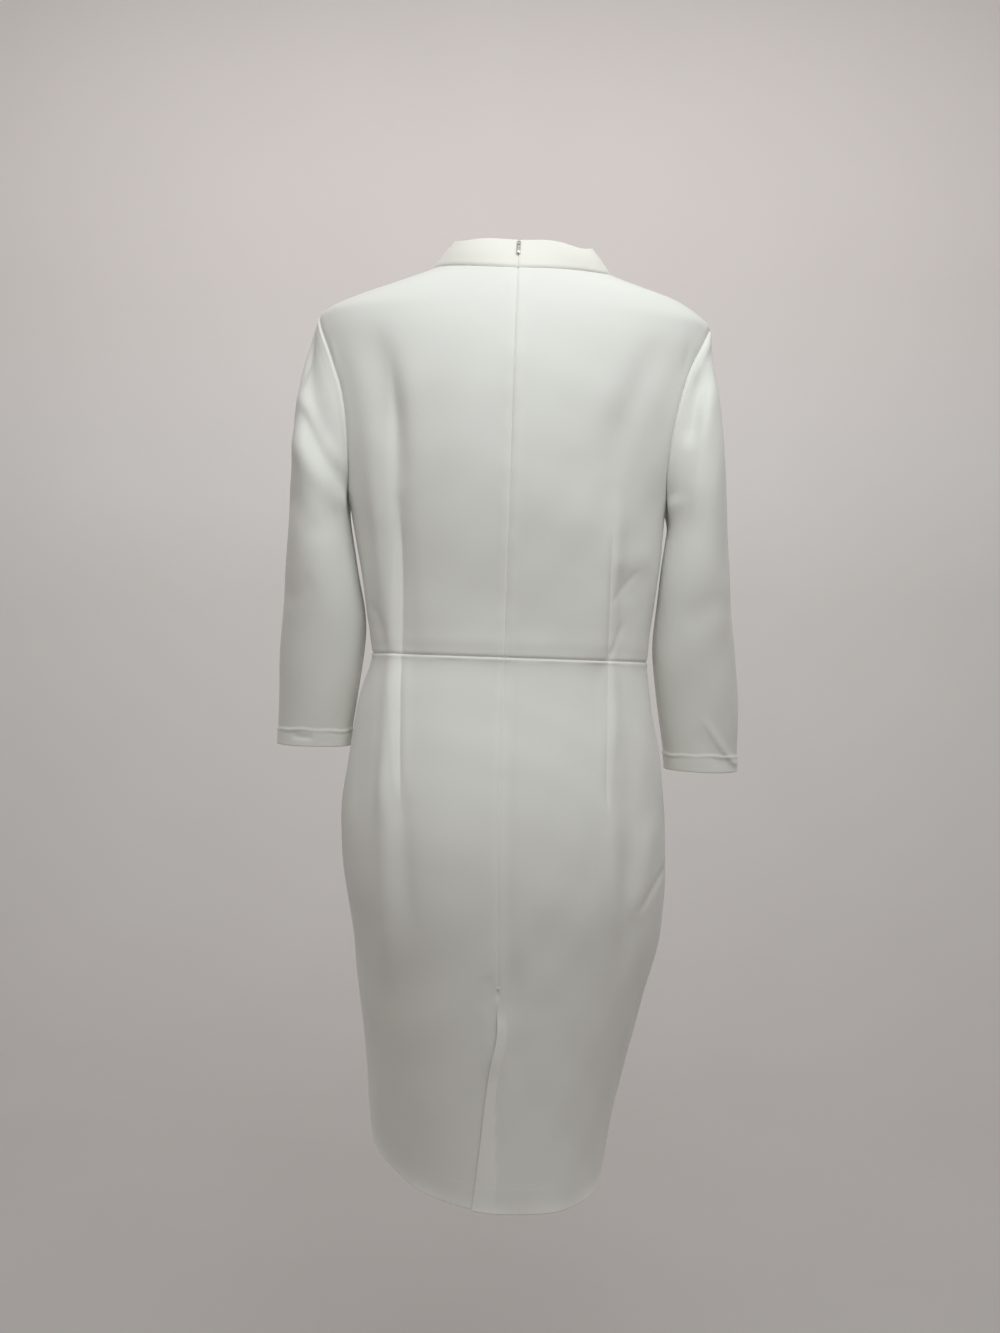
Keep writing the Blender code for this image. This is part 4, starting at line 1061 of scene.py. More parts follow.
def make_panels(garment, panel, thickness, hemmed=False):
    """The two backs and the front of the bodice or the skirt. A hemmed one has round edges at
    its bottom and at the vent, the first columns of its backs."""
    backs = {f"{garment}_back_{side}": panel("back", side) for side in SIDE_SIGN}
    fronts = {f"{garment}_front": both_halves(*(panel("front", side) for side in SIDE_SIGN))}
    for name, (points, normals, layers_and_highlights) in {**backs, **fronts}.items():
        sides = {"bottom": hemmed, "first": hemmed and name in backs}
        thick = thickness(points)
        cloth_pieces[name] = add_cloth(f"cloth_{name}", points, normals, thick, layers_and_highlights, **sides)


def bodice_panel(half, side):
    """Half a bodice panel: its grid of angles and heights, raised."""
    return raise_bodice(half, side, *bodice_grid(half, side, panel_columns()))


cloth_pieces = {}
make_panels("bodice", bodice_panel, lambda points: CLOTH)

# %% [markdown]
# ## The skirt
#
# The skirt's backs meet at the centre seam down to the vent. Below it the right back laps over
# the left one, which runs on underneath as an underlay. Their first columns are the two edges
# of the vent, so both spread over it near the centre, one outwards and one inwards. The hem
# rises a little towards the front, and each row of the grid does so more the lower it lies.

# %% Skirt form
HEM_TILT, HEM_DEPTH = 0.05, 25.0
VENT_TOP_Z = -720.0
VENT_UNDER, VENT_UNDER_RUN = 42.0, (2.0, 26.0)
VENT_OUT, VENT_IN = 1.1, 1.4
VENT_STEP_RUN = (3.0, 35.0)
VENT_FADE, UNDERLAY_FADE = 34.0, (0.5, 7.0)
COLUMN_SPREAD = 4
SKIRT_SPREAD = 160.0  # how far below its tip a dart's column has spread
VENT_LAP = np.array([(-931.0, 26.0), (-870.0, 17.5), (-800.0, 7.5), (-750.0, 0.0), (-700.0, 0.0)])
SKIRT_DARTS = {
    ("back", "left"): ((104.0, -397.0), (95.0, -548.0)),
    ("back", "right"): ((-102.0, -397.0), (-104.0, -556.0)),
    ("front", "left"): ((73.0, -397.0), (78.0, -492.0)),
    ("front", "right"): ((-75.0, -397.0), (-80.0, -490.0)),
}


def skirt_rows():
    """Row heights from the hem up, closer at the hem's edge, where it ends, and the waist."""
    length = WAIST_Z - HEM_Z
    spots = [(0.0, "hem_edge"), (HEM_DEPTH, "hem_top"), (length, "waist")]
    return HEM_Z + stations(length, spots)[:, None]


def hang(deg, z):
    """Heights of the skirt's rows: each rises forwards, more the lower it is, so that the hem
    is tilted and the waist level."""
    behind = plain_body(0.0 * z, z)[..., 1]
    forwards = behind - plain_body(deg, z)[..., 1]
    return z + HEM_TILT * forwards * (z - WAIST_Z) / (HEM_Z - WAIST_Z)


def degrees_for(length, z):
    """The angle at the centre back that spans a length."""
    return np.degrees(length / body_size("left", z))


def vent_lap(z):
    """How far the right back laps over the seam's line at a height, by a curve of its own."""
    return through(z, VENT_LAP[:, 0], VENT_LAP[:, 1])


def skirt_grid(half, side, share):
    """Angles and heights of half of the skirt, from the centre (share 0) to the side (1). At
    the vent, the columns near the centre spread over the underlay or the lap, by a power of
    what their share leaves."""
    z = skirt_rows()
    ends = SKIRT_DARTS[half, side]
    at_dart = dart_deg(ends, z, ends[1][1] - SKIRT_SPREAD)
    centre, way = centre_and_way(half, side)
    seam_deg = body_size("seam", z) * way if half == "back" else 0.0
    deg = centre + way * panel_deg(share, seam_deg, at_dart)
    spread = (1 - share) ** COLUMN_SPREAD
    if half == "back" and side == "left":
        under = VENT_UNDER * ease(VENT_TOP_Z - z, *VENT_UNDER_RUN)
        deg = deg - degrees_for(under, z) * spread
    if half == "back" and side == "right":
        deg = deg + degrees_for(vent_lap(z), z) * spread
    return deg, hang(deg, z)


print("skirt rows:", skirt_rows().size)

# %% [markdown]
# Below the top of the vent the right back panel laps over the left one. Its edge isn't
# pressed flat: it curls up, so the panel is moved out, the underlay in, and a strip beside
# the edge stands up to it. The hem is turned up 25 mm and doubles the cloth there.

# %% The vent
VENT_CURL = {"width": 8.0, "widening": 12.0, "height": 0.9, "start": (2.0, 30.0)}
VENT_WIDENS = (90.0, 200.0)
VENT_CREASE = {"share": 0.6, "half_width": 2.2, "end": (100.0, 190.0)}
# the curled strip's doubled cloth and painted highlight: where it starts, and how much fades as the
# strip widens
VENT_DOUBLED_AND_HIGHLIGHT = {"start": (12.0, 30.0), "loss": 0.5}


def vent_rise(points, z, side):
    """How far the lapping panel is moved out and the underlay in: a step that is whole beside
    the vent and fades away from it, and starts smoothly below its top."""
    off_seam = points[..., 0] - body(body_size("seam", z), z)[..., 0]
    start = ease(VENT_TOP_Z - z, *VENT_STEP_RUN)
    if side == "right":
        return VENT_OUT * start * (1 - ease(-off_seam, VENT_UNDER, VENT_UNDER + VENT_FADE))
    return -VENT_IN * start * (1 - ease(off_seam - vent_lap(z), *UNDERLAY_FADE))


def curl_width(below):
    """The width of the curled strip beside the lapping edge. It grows towards the hem."""
    return VENT_CURL["width"] + VENT_CURL["widening"] * ease(below, *VENT_WIDENS)


def vent_flare(along, z):
    """The lapping edge curls outwards: a strip beside it stands up to the edge in a straight
    slope, and ends in a bell-shaped crease that fades as the strip widens."""
    below = VENT_TOP_Z - z
    width = curl_width(below)
    crease = bell(along - width, VENT_CREASE["half_width"])
    crease = VENT_CREASE["share"] * crease * (1 - ease(below, *VENT_CREASE["end"]))
    height = VENT_CURL["height"] * ease(below, *VENT_CURL["start"])
    return height * (np.clip(1 - along / width, 0.0, None) - crease)


def vent_strip_doubled_and_lit(along, z):
    """1 on the curled strip of the lapping edge, where the cloth is doubled and a highlight is
    painted, and less where it has widened.
    """
    below = VENT_TOP_Z - z
    fade = 1 - VENT_DOUBLED_AND_HIGHLIGHT["loss"] * ease(below, *VENT_WIDENS)
    return allowance(along, curl_width(below)) * ease(below, *VENT_DOUBLED_AND_HIGHLIGHT["start"]) * fade


print("the curl widens to", curl_width(VENT_TOP_Z - HEM_Z), "mm")

# %% [markdown]
# The left dart of the skirt's back is pressed crisper than the right one, as its shadow shows.
# Where cloth lies double, at the dart, the waist, the sides and the hem, it stands out by a fraction
# of a millimetre and looks lighter, more at some places than at others. The same lighter colour paints
# highlights: along the hem's folded edge, on the vent's curled strip and on the waist lip.

# %% Skirt pieces
DART_CRISPNESS = {"left": 0.8, "right": 0.45}
SKIRT_DART_SWELL, SKIRT_DART_CLOTH = 0.9, 13.0
SEAM_CLOSES = (-6.0, 4.0)  # from the top of the vent
ZIP_FADES_Z = (-512.0, -500.0)
# shares of the lighter colour: the rim share is a painted highlight along the hem's folded edge, the
# vent share doubled cloth with a painted highlight on the curled strip, the rest doubled cloth
SKIRT_DOUBLED_AND_HIGHLIGHTS = {"side": 0.6, "centre": 0.15, "hem": 0.05, "rim": 0.7, "vent": 1.4}
# the waist's allowance is doubled cloth; nearer the darts, and in waves, it is a painted highlight on
# the lip
SKIRT_WAIST_DOUBLED_AND_HIGHLIGHT = {"plain": 0.2, "at_dart": 0.7, "reach": 16.0, "allowance": 2.5}
DOUBLED_AND_HIGHLIGHT_LEVEL, DOUBLED_AND_HIGHLIGHT_WAVES = 0.75, ((0.25, 9.0, 0.0),)
HEM_HIGHLIGHT_REACH, HEM_ALLOWANCE_SOFT = 9.0, 6.0
CENTRE_ALLOWANCE = (9.0, 5.0)
HEM_THINS = 2.0


def raise_skirt(half, side, deg, z):
    """The same for half of the skirt, raised by its hem and the vent too."""
    plain, normal = plain_body(deg, z), body_normal(deg, z)
    points = raised(plain, normal, body_relief(plain, normal))
    along, up = lengths(points)
    down, to_side = up[-1:] - up, along[:, -1:] - along
    ends, crisp, shares = SKIRT_DARTS[half, side], DART_CRISPNESS[side], SKIRT_DOUBLED_AND_HIGHLIGHTS
    rise = dart(ends, plain, crisp, SKIRT_DART_SWELL * crisp)
    rise = rise + seam("waist", down) + seam("side", to_side)
    rise = rise + hem(up, along, HEM_DEPTH, **SKIRT_HEM)
    # the waist's allowance is doubled cloth; nearer the darts and in waves it is a painted highlight
    # on the lip
    uneven = DOUBLED_AND_HIGHLIGHT_LEVEL + waves(along, DOUBLED_AND_HIGHLIGHT_WAVES)
    waist = SKIRT_WAIST_DOUBLED_AND_HIGHLIGHT
    at_dart = waist["at_dart"] * bell(dart_place(ends, plain)[0], waist["reach"])
    # a painted highlight along the hem's folded edge
    rim_highlight_share = shares["rim"] * uneven * bell(up, HEM_HIGHLIGHT_REACH)
    layers_and_highlights = most(
        crisp * dart_cloth(ends, plain, side, SKIRT_DART_CLOTH),
        (waist["plain"] + at_dart) * uneven * allowance(down, waist["allowance"]),
        shares["hem"] * allowance(up, HEM_DEPTH, HEM_ALLOWANCE_SOFT) + rim_highlight_share,
        shares["side"] * allowance(to_side),
    )
    if half == "back":
        closes = (VENT_TOP_Z + offset for offset in SEAM_CLOSES)
        closed = ease(z, *closes)
        rise = rise + vent_rise(points, z, side) + closed * seam("centre", along)
        rise = rise + zip_strip(along, z) * ease(z, *ZIP_FADES_Z)
        layers_and_highlights = most(layers_and_highlights, shares["centre"] * closed * allowance(along, *CENTRE_ALLOWANCE))
    if half == "back" and side == "right":
        rise = rise + vent_flare(along, z)
        # the curled strip is doubled cloth with a painted highlight
        layers_and_highlights = most(layers_and_highlights, shares["vent"] * vent_strip_doubled_and_lit(along, z))
    return raised(points, normal, rise + STRIKE_THROUGH * layers_and_highlights), normal, layers_and_highlights


def skirt_thickness(points):
    """Double where the hem is turned up, thinning over a few millimetres above it."""
    _, up = lengths(points)
    doubled = 1 - ease(up, HEM_DEPTH - HEM_THINS, HEM_DEPTH + HEM_THINS)
    return CLOTH + (HEM_CLOTH - CLOTH) * doubled


def skirt_panel(half, side):
    """Half of the skirt: its grid of angles and heights, raised."""
    return raise_skirt(half, side, *skirt_grid(half, side, panel_columns()))


make_panels("skirt", skirt_panel, skirt_thickness, hemmed=True)

# %% [markdown]
# ## The sleeves
#
# The grid runs round the sleeve from its seam under the arm and down from the armhole. The
# sleeve head is eased into the armhole: it stands up beside the seam in a soft roll. Below it
# the cloth pulls across the upper arm in slanting folds. The cuff is turned up inside.

# %% Sleeves
SLEEVE_FOLDS = {
    # view, x and z of its start, x and z of its end, bend, half width, height and lean. x
    # grows outwards on both sides.
    "left": [
        (1, 221, -74, 188, -196, 0, 15, -7.5, 0),
        (1, 216, -140, 176, -208, 0, 8, 2.6, 0),
        (1, 214, -158, 172, -226, 0, 8, -3.2, 0),
        (1, 216, -186, 166, -254, -3, 12, 4.2, 0),
        (1, 222, -240, 190, -282, 0, 14, -1.6, 0),
        (-1, 206, -130, 178, -205, 0, 9, 2.6, 0),
        (-1, 200, -96, 174, -190, 0, 9, -2.6, 0),
        (1, 196, -487, 214, -485, 1, 4, -1.1, 0),
        (1, 196, -330, 226, -344, 4, 14, -1, 0),
        (-1, 190, -330, 222, -352, 5, 11, -1.4, 0),
    ],
    "right": [
        (1, 190, -108, 178, -170, 0, 8, -5.5, 0),
        (1, 196, -118, 186, -240, 0, 9, 3.6, 0),
        (1, 166, -232, 160, -262, 0, 8, 2.6, 0),
        (1, 226, -334, 182, -354, 3, 16, -1.4, 0),
        (1, 210, -460, 247, -505, 2, 3.2, 1.7, 0.3),
        (1, 202, -470, 232, -506, 2, 7, -0.6, 0),
        (-1, 204, -126, 176, -208, 0, 9, 2.6, 0),
        (-1, 198, -96, 172, -190, 0, 9, -2.4, 0),
        (-1, 188, -338, 224, -350, -4, 11, -1.5, 0),
    ],
}
SLEEVE_PUFF = {
    "left": {"turn": 50.0, "spread": 45.0, "height": 0.2, "reach": 4.0},
    "right": {"turn": 34.0, "spread": 26.0, "height": 2.4, "reach": 8.0},
}
SLEEVE_SETTLING = 60  # times that each row moves towards its neighbours
SLEEVE_GIRTH, CAP_LENGTH = 330.0, 212.0
CUFF_DEPTH = 17.0
SLEEVE_FOLDS_START, SLEEVE_FOLDS_END = (0.0, 0.06), (-2.0, -1.96)
SLEEVE_RIPPLES_START = (0.0, 0.3)


def settled(points, times):
    """Each row moves to the mean of itself and its neighbours, times over. The first and last
    rows stay."""
    points = points.copy()
    for _ in range(times):
        points[1:-1] = points[1:-1] / 2 + (points[:-2] + points[2:]) / 4
    return points


def grid_normals(points, sign):
    """Unit normals of a grid that runs down and round a closed form: the cross product of its
    slopes down and round."""
    down = np.gradient(points, axis=0)
    ring = np.concatenate([points[:, -2:-1], points, points[:, 1:2]], axis=1)
    around = ring[:, 2:] - ring[:, :-2]
    return unit(np.cross(down, around) * sign)


def sleeve_grid(side):
    """The turn and v of a sleeve's grid. It runs round from the seam under the arm, and down
    from the armhole through the cap to the cuff."""
    ends = [(0.0, "underarm"), (SLEEVE_GIRTH, "underarm")]
    turn = stations(SLEEVE_GIRTH, ends) / SLEEVE_GIRTH * 360.0 - 180.0
    lower = SLEEVE_JOIN_Z - SLEEVES[side][-1, 0]
    whole = CAP_LENGTH + lower
    place = stations(whole, [(0.0, "armhole"), (whole - CUFF_DEPTH, "hem_top"), (whole, "hem_edge")])
    v = np.where(place < CAP_LENGTH, place / CAP_LENGTH, 1.0 + (place - CAP_LENGTH) / lower)
    return np.broadcast_arrays(turn[None, :], v[:, None])


def sleeve_form(side, turn, v):
    """The points and normals of a plain sleeve, and the height of its folds and unevenness.
    Both start at nothing at the armhole, and the folds end before the cuff's edge."""
    plain = settled(plain_sleeve(side, turn, v), SLEEVE_SETTLING)
    normal = grid_normals(plain, SIDE_SIGN[side])
    x = plain[..., 0] * SIDE_SIGN[side]
    rise = fold_height(SLEEVE_FOLDS[side], x, plain[..., 2], normal[..., 1])
    rise = rise * ease(v, *SLEEVE_FOLDS_START) * ease(-v, *SLEEVE_FOLDS_END)
    rise = rise + ripples(plain) * ease(v, *SLEEVE_RIPPLES_START)
    return plain, normal, rise


# %% [markdown]
# Two things make a set-in sleeve: the head, eased into the armhole so that it rolls over the
# seam, more at the shoulder than under the arm, and the cuff, whose turned-up end shows as a
# waved pressed ridge with a shallow trough under it.

# %% Sleeve pieces
SLEEVE_HEAD = {"height": 0.8, "top": 3.2, "under": 0.35, "span": (-0.6, 0.7)}
CUFF_FOLD_WAVES = ((0.8, 13.0, 0.0), (0.4, 4.7, 1.0))
CUFF_RIDGE = {"height": 0.45, "below": 0.8, "half_width": 1.4}
CUFF_TROUGH = {"share": 0.4, "below": 4.5, "half_width": 2.2}
CUFF_RIDGE_WAVES = ((0.5, 9.0, 2.0),)
CUFF_THINS = 1.5
SLEEVE_DOUBLED = {"cuff": 0.4, "armhole": 0.15, "underarm": 0.6}
SLEEVE_HEAD_ALLOWANCE = 4.0


def sleeve_head(side, turn, down):
    """The roll below the armhole: a swelling that is highest at the shoulder, and a second
    one at one place, where the cloth puffs."""
    puff = SLEEVE_PUFF[side]
    under = SLEEVE_HEAD["under"]
    share = under + (1 - under) * ease(np.cos(np.radians(turn)), *SLEEVE_HEAD["span"])
    rise = SLEEVE_HEAD["height"] * share * swelling(down, SLEEVE_HEAD["top"])
    puffed = puff["height"] * bell(turn - puff["turn"], puff["spread"])
    return rise + puffed * swelling(down, puff["reach"])


def cuff(up, along):
    """The turned-up cuff: a hem whose end waves, a ridge along that end, and a trough under
    it, both bells."""
    fold = CUFF_DEPTH + waves(along, CUFF_FOLD_WAVES)
    ridge = bell(up - fold + CUFF_RIDGE["below"], CUFF_RIDGE["half_width"])
    trough = bell(up - fold + CUFF_TROUGH["below"], CUFF_TROUGH["half_width"])
    height = CUFF_RIDGE["height"] * (1 + waves(along, CUFF_RIDGE_WAVES))
    return hem(up, along, fold, **CUFF_HEM) + height * (ridge - CUFF_TROUGH["share"] * trough)


def make_sleeve(side):
    """A sleeve: its form, raised by its head, cuff and underarm seam and dipped into the
    armhole's seam. Its rows are turned round, so that the cuff is the bottom one."""
    turn, v = sleeve_grid(side)
    plain, normal, rise = sleeve_form(side, turn, v)
    at_armhole = armhole_normal(side, turn[0])[None]
    along, down = lengths(plain)
    up, to_seam = down[-1:] - down, np.minimum(along, along[:, -1:] - along)
    rise = rise + sleeve_head(side, turn, down) + cuff(up, along) + seam("underarm", to_seam)
    points = raised(plain, normal, rise)
    points = raised(points, at_armhole, seam_dip("armhole", down))
    near = bell(down, ARMHOLE_BLEND)[..., None]
    normal = unit(normal * (1 - near) + at_armhole * near)
    doubled = 1 - ease(up, CUFF_DEPTH - CUFF_THINS, CUFF_DEPTH + CUFF_THINS)
    layers_and_highlights = most(
        SLEEVE_DOUBLED["cuff"] * doubled,
        SLEEVE_DOUBLED["armhole"] * allowance(down, SLEEVE_HEAD_ALLOWANCE),
        SLEEVE_DOUBLED["underarm"] * allowance(to_seam),
    )
    thickness = CLOTH + (HEM_CLOTH - CLOTH) * doubled
    points, normal, thickness, layers_and_highlights = (g[::-1] for g in (points, normal, thickness, layers_and_highlights))
    name = f"cloth_sleeve_{side}"
    return add_cloth(name, points, normal, thickness, layers_and_highlights, bottom=True, closed=True)


for side in SIDE_SIGN:
    cloth_pieces[f"sleeve_{side}"] = make_sleeve(side)

# %% [markdown]
# ## The collar
#
# The band is a strip of doubled cloth with a stiffener, folded at its upper edge. A profile is
# carried round the neckline: up the outer side, over a round edge and down inside. Its two
# ends meet at the zip. The outer side bows out a little, and its foot sits in the neck seam.
# Soft cloth turns a corner at the sides of the neck, and slumps a little behind them.

# %% Collar
COLLAR_CLOTH = 2.4
COLLAR_RISE = {"back": 30.0, "side": 25.0, "front": 27.0}
COLLAR_TAPER = {"left": 0.77, "right": 0.78, "back": 0.81, "front": 0.86}
COLLAR_BOW = {"middle": 0.02, "left": 0.14, "right": 0.17}
COLLAR_DIP = {"left": 2.2, "right": 4.8}
COLLAR_DIP_TURN, COLLAR_DIP_REACH = 45.0, 15.0
COLLAR_POWER = 1.5
COLLAR_STEP = 0.01  # of the rise, for its slope


def collar_surface(turn, rise):
    """The collar's outer side: a cone from the neckline (rise 0) up to a smaller edge (1),
    whose height goes by a power of the cosine, less a bell-shaped slump behind each side. It
    bows out a little between, and at the corners by the squared sine of the double turn."""
    foot = body(*neckline(turn))
    behind = np.cos(np.radians(turn))
    at_right = foot[..., 0] < 0

    def by_side(values):
        return np.where(at_right, values["right"], values["left"])

    def by_end(values):
        return np.where(behind > 0, values["back"], values["front"])

    low = COLLAR_RISE["side"]
    height = low + (by_end(COLLAR_RISE) - low) * np.abs(behind) ** COLLAR_POWER
    off_dip = np.degrees(np.arccos(behind)) - COLLAR_DIP_TURN
    height = height - by_side(COLLAR_DIP) * bell(off_dip, COLLAR_DIP_REACH)
    upwards = np.clip(rise, 0.0, 1.0)
    bow = 1 + COLLAR_BOW["middle"] * np.sin(np.pi * upwards)
    bow = bow + by_side(COLLAR_BOW) * np.sin(2 * np.radians(turn)) ** 2 * upwards
    x = foot[..., 0] * (1 + (by_side(COLLAR_TAPER) - 1) * rise) * bow
    y = foot[..., 1] * (1 + (by_end(COLLAR_TAPER) - 1) * rise) * bow
    return np.stack([x, y, foot[..., 2] + height * rise], axis=-1)


def collar_normal(turn, rise):
    """The unit normal of the collar: the cross product of its slopes upwards and round."""
    h, k = DERIVATIVE_STEP, COLLAR_STEP
    around = collar_surface(turn + h, rise) - collar_surface(turn - h, rise)
    upwards = collar_surface(turn, rise + k) - collar_surface(turn, rise - k)
    return unit(np.cross(upwards, around))


# %% [markdown]
# The grid's rows go up the outer side and its columns round the neck. The upper edge is the
# grid's bottom row, so that it gets the round edge. The stiffener keeps the band nearly flat,
# with faint waves, and its two ends are pressed down where they meet.

# %% Collar piece
COLLAR_HEIGHT, COLLAR_GIRTH = 30.0, 420.0
COLLAR_ROWS, COLLAR_COLUMNS = 1.2, 2.2  # millimetres between them
COLLAR_WAVES = {"height": 0.25, "short": ((1.0, 17.0, 0.0),), "long": ((1.0, 41.0, 1.0),)}
COLLAR_END = {"depth": 0.7, "half_width": 1.3}


def make_collar():
    """The collar: its outer side, raised by the neck's seam, by a product of a short and a
    long wave, and pressed down in a bell at its ends."""
    edges = [(0.0, "collar_edge"), (COLLAR_HEIGHT, "collar_foot")]
    rise = 1 - stations(COLLAR_HEIGHT, edges, even=COLLAR_ROWS) / COLLAR_HEIGHT
    edges = [(0.0, "collar_end"), (COLLAR_GIRTH, "collar_end")]
    turn = stations(COLLAR_GIRTH, edges, even=COLLAR_COLUMNS) / COLLAR_GIRTH * 360.0
    turn, rise = np.broadcast_arrays(turn[None, :], rise[:, None])
    plain, normal = collar_surface(turn, rise), collar_normal(turn, rise)
    along, up = lengths(plain)
    wave = waves(along, COLLAR_WAVES["short"]) * waves(along, COLLAR_WAVES["long"])
    at_end = np.minimum(along, along[:, -1:] - along)
    height = seam("collar", up[-1:] - up) + COLLAR_WAVES["height"] * wave
    height = height - COLLAR_END["depth"] * bell(at_end, COLLAR_END["half_width"])
    points = raised(plain, normal, height)
    return add_cloth("cloth_collar", points, normal, COLLAR_CLOTH, 0.0, bottom=True)


cloth_pieces["collar"] = make_collar()

# %% [markdown]
# ## The zip
#
# An invisible zip is a woven tape behind the seam, a nylon coil sewn to its inner side, a
# slider and a small pull tab. The coil is one wire wound round two rows of stitches, so it is
# one helix here, carried along the tape. The tape is a strip of cloth like the others.

# %% Zip tape and coil
ZIP_END_Z = -505.0
ZIP_TAPE_WIDTH, ZIP_TAPE, ZIP_CLEAR = 24.0, 0.6, 1.5
TAPE_COLUMNS, TAPE_ROWS, TAPE_CLOSE_ROWS = 13, 3.0, 1.2
TAPE_TOP = 0.96  # the share of the collar's rise that the tape reaches
TAPE_BEND, TAPE_BEND_REACH = 29.0, 6.0
COIL = {"pitch": 1.25, "half_width": 1.9, "half_depth": 0.75, "wire": 0.26, "end": 12.0}
COIL_TOP, COIL_STEPS, COIL_SIDES = 0.6, 12, 5


def zip_line(across, place):
    """The points and normals of the tape's outer side. place runs up in millimetres from its
    lower end, inside the skirt and bodice and then, smoothly, inside the collar."""
    split = BACK_NECK_Z - ZIP_END_Z
    z = ZIP_END_Z + np.minimum(place, split)
    deg = degrees_for(across, z) + body_size("seam", z)
    low_normal = body_normal(deg, z)
    low = body(deg, z) - low_normal * (CLOTH + ZIP_CLEAR)
    rise = np.clip((place - split) / COLLAR_RISE["back"], 0.0, TAPE_TOP)
    turn = degrees_for(across, BACK_NECK_Z + 0 * z)
    high_normal = collar_normal(turn, rise)
    high = collar_surface(turn, rise) - high_normal * (COLLAR_CLOTH + ZIP_CLEAR / 2)
    share = ease(place, split - TAPE_BEND_REACH, split + TAPE_BEND_REACH)[..., None]
    normal = unit(low_normal * (1 - share) + high_normal * share)
    return low * (1 - share) + high * share, normal


def zip_length(share):
    """The length of the zip from its lower end up to a share of the collar's rise."""
    return BACK_NECK_Z - ZIP_END_Z + COLLAR_RISE["back"] * share


def make_zip_tape():
    """The tape: a strip of even columns along the zip's line, with closer rows at its bend."""
    length = zip_length(TAPE_TOP)
    bend = [(length - TAPE_BEND, "tape_bend")]
    place = stations(length, bend, even=TAPE_ROWS, close=TAPE_CLOSE_ROWS)[:, None]
    across = np.linspace(-0.5, 0.5, TAPE_COLUMNS)[None, :] * ZIP_TAPE_WIDTH
    points, normals = zip_line(*np.broadcast_arrays(across, place))
    return add_cloth("cloth_zip_tape", points, normals, ZIP_TAPE, 0.0)


def tube_faces(numbers):
    """The faces of a closed form whose rings are the rows of a grid of corner numbers: a quad
    for each cell, and one face for each end."""
    ends = [numbers[0, ::-1].tolist(), numbers[-1].tolist()]
    return quads(wrapped(numbers)).tolist() + ends


def tube_round(line, sides, radius, across=None):
    """A closed tube round a line: rings by the cosine and sine of two directions at right
    angles to it. The first is at right angles to across too, or else to the upright."""
    along = unit(np.gradient(line, axis=0))
    lead = np.array([0.0, 0.0, 1.0]) if across is None else across
    one = unit(np.cross(along, lead))
    two = np.cross(along, one)
    angle = np.linspace(0.0, 2 * np.pi, sides, endpoint=False)[None, :, None]
    ring = line[:, None] + radius * (one[:, None] * np.cos(angle) + two[:, None] * np.sin(angle))
    return ring.reshape(-1, 3), tube_faces(np.arange(ring[..., 0].size).reshape(ring.shape[:2]))


def make_coil():
    """The coil on the tape's inner side: one wire that goes round and up. Its place across is
    the cosine of its angle and its depth the sine, and it climbs by a pitch each turn."""
    turns = (zip_length(COIL_TOP) - COIL["end"]) / COIL["pitch"]
    angle = np.linspace(0.0, 2 * np.pi * turns, int(turns * COIL_STEPS))
    place = COIL["end"] + angle / (2 * np.pi) * COIL["pitch"]
    points, normals = zip_line(COIL["half_width"] * np.cos(angle), place)
    depth = ZIP_TAPE + COIL["wire"] + COIL["half_depth"] * (1 + np.sin(angle))
    points, faces = tube_round(raised(points, normals, -depth), COIL_SIDES, COIL["wire"])
    print("zip_coil:", len(angle), "rings")
    return add_mesh("zip_coil", lean(points) * MM, faces)


cloth_pieces["zip_tape"] = make_zip_tape()
coil = make_coil()

# %% [markdown]
# The slider and its tab are cast and plated. A rounded box whose edges run smoothly into its
# faces is a superellipsoid, one formula of two angles, which suits small castings. The tab
# hangs on the bar under the slider's bridge and rides on its own body. Every part below is
# made in the slider's own frame, across, out and up.

# %% Slider and tab
SLIDER_RISE = 0.80  # the share of the collar's rise where the slider sits
SEAM_GAP = 0.3
SLIDER_SIZE, SLIDER_TAPER = (4.6, 1.6, 8.4), 0.22
RIB_SIZE, RIB_SUNK = (1.5, 0.7, 7.2), 0.15
BRIDGE_RADIUS, BRIDGE_SPAN = 0.45, 5.4
BRIDGE_SHAPE = ((0.0, 1.0), (0.8, 0.95), (1.0, 0.6))  # shares of its height and half span
PULL_BAR_RADIUS, PULL_PLAY = 0.45, 0.3
PULL_WIDTH, PULL_LENGTH, PULL_THICKNESS, PULL_TAPER = 3.6, 12.0, 0.8, -0.12
PULL_EYE_WIDTH, PULL_EYE_LENGTH, PULL_EYE_FOOT = 2.7, 4.4, 0.6
DROP = {"width": 0.62, "length": 0.55, "proud": 0.24, "lower": 0.12}
SQUARENESS = {"plate": 0.45, "rib": 0.7, "tongue": 0.5, "drop": 0.8}
CASTING_STEPS, WIRE_SIDES, WIRE_ROUNDS = 20, 10, 3


def slider_frame():
    """Where the slider stands on the collar, and its directions across, out and up."""
    spot = lean(collar_surface(np.array(0.0), np.array(SLIDER_RISE)))
    above = lean(collar_surface(np.array(0.0), np.array(SLIDER_RISE + COLLAR_STEP)))
    up = unit(above - spot)
    across = lean(np.array([1.0, 0.0, 0.0]))
    out = np.cross(up, across)
    return spot, np.stack([across, out, np.cross(across, out)])


def facing_out(points, faces):
    """The form with its faces turned round where they point inwards."""
    if signed_volume(points, faces) < 0:
        faces = [face[::-1] for face in faces]
    return points, faces


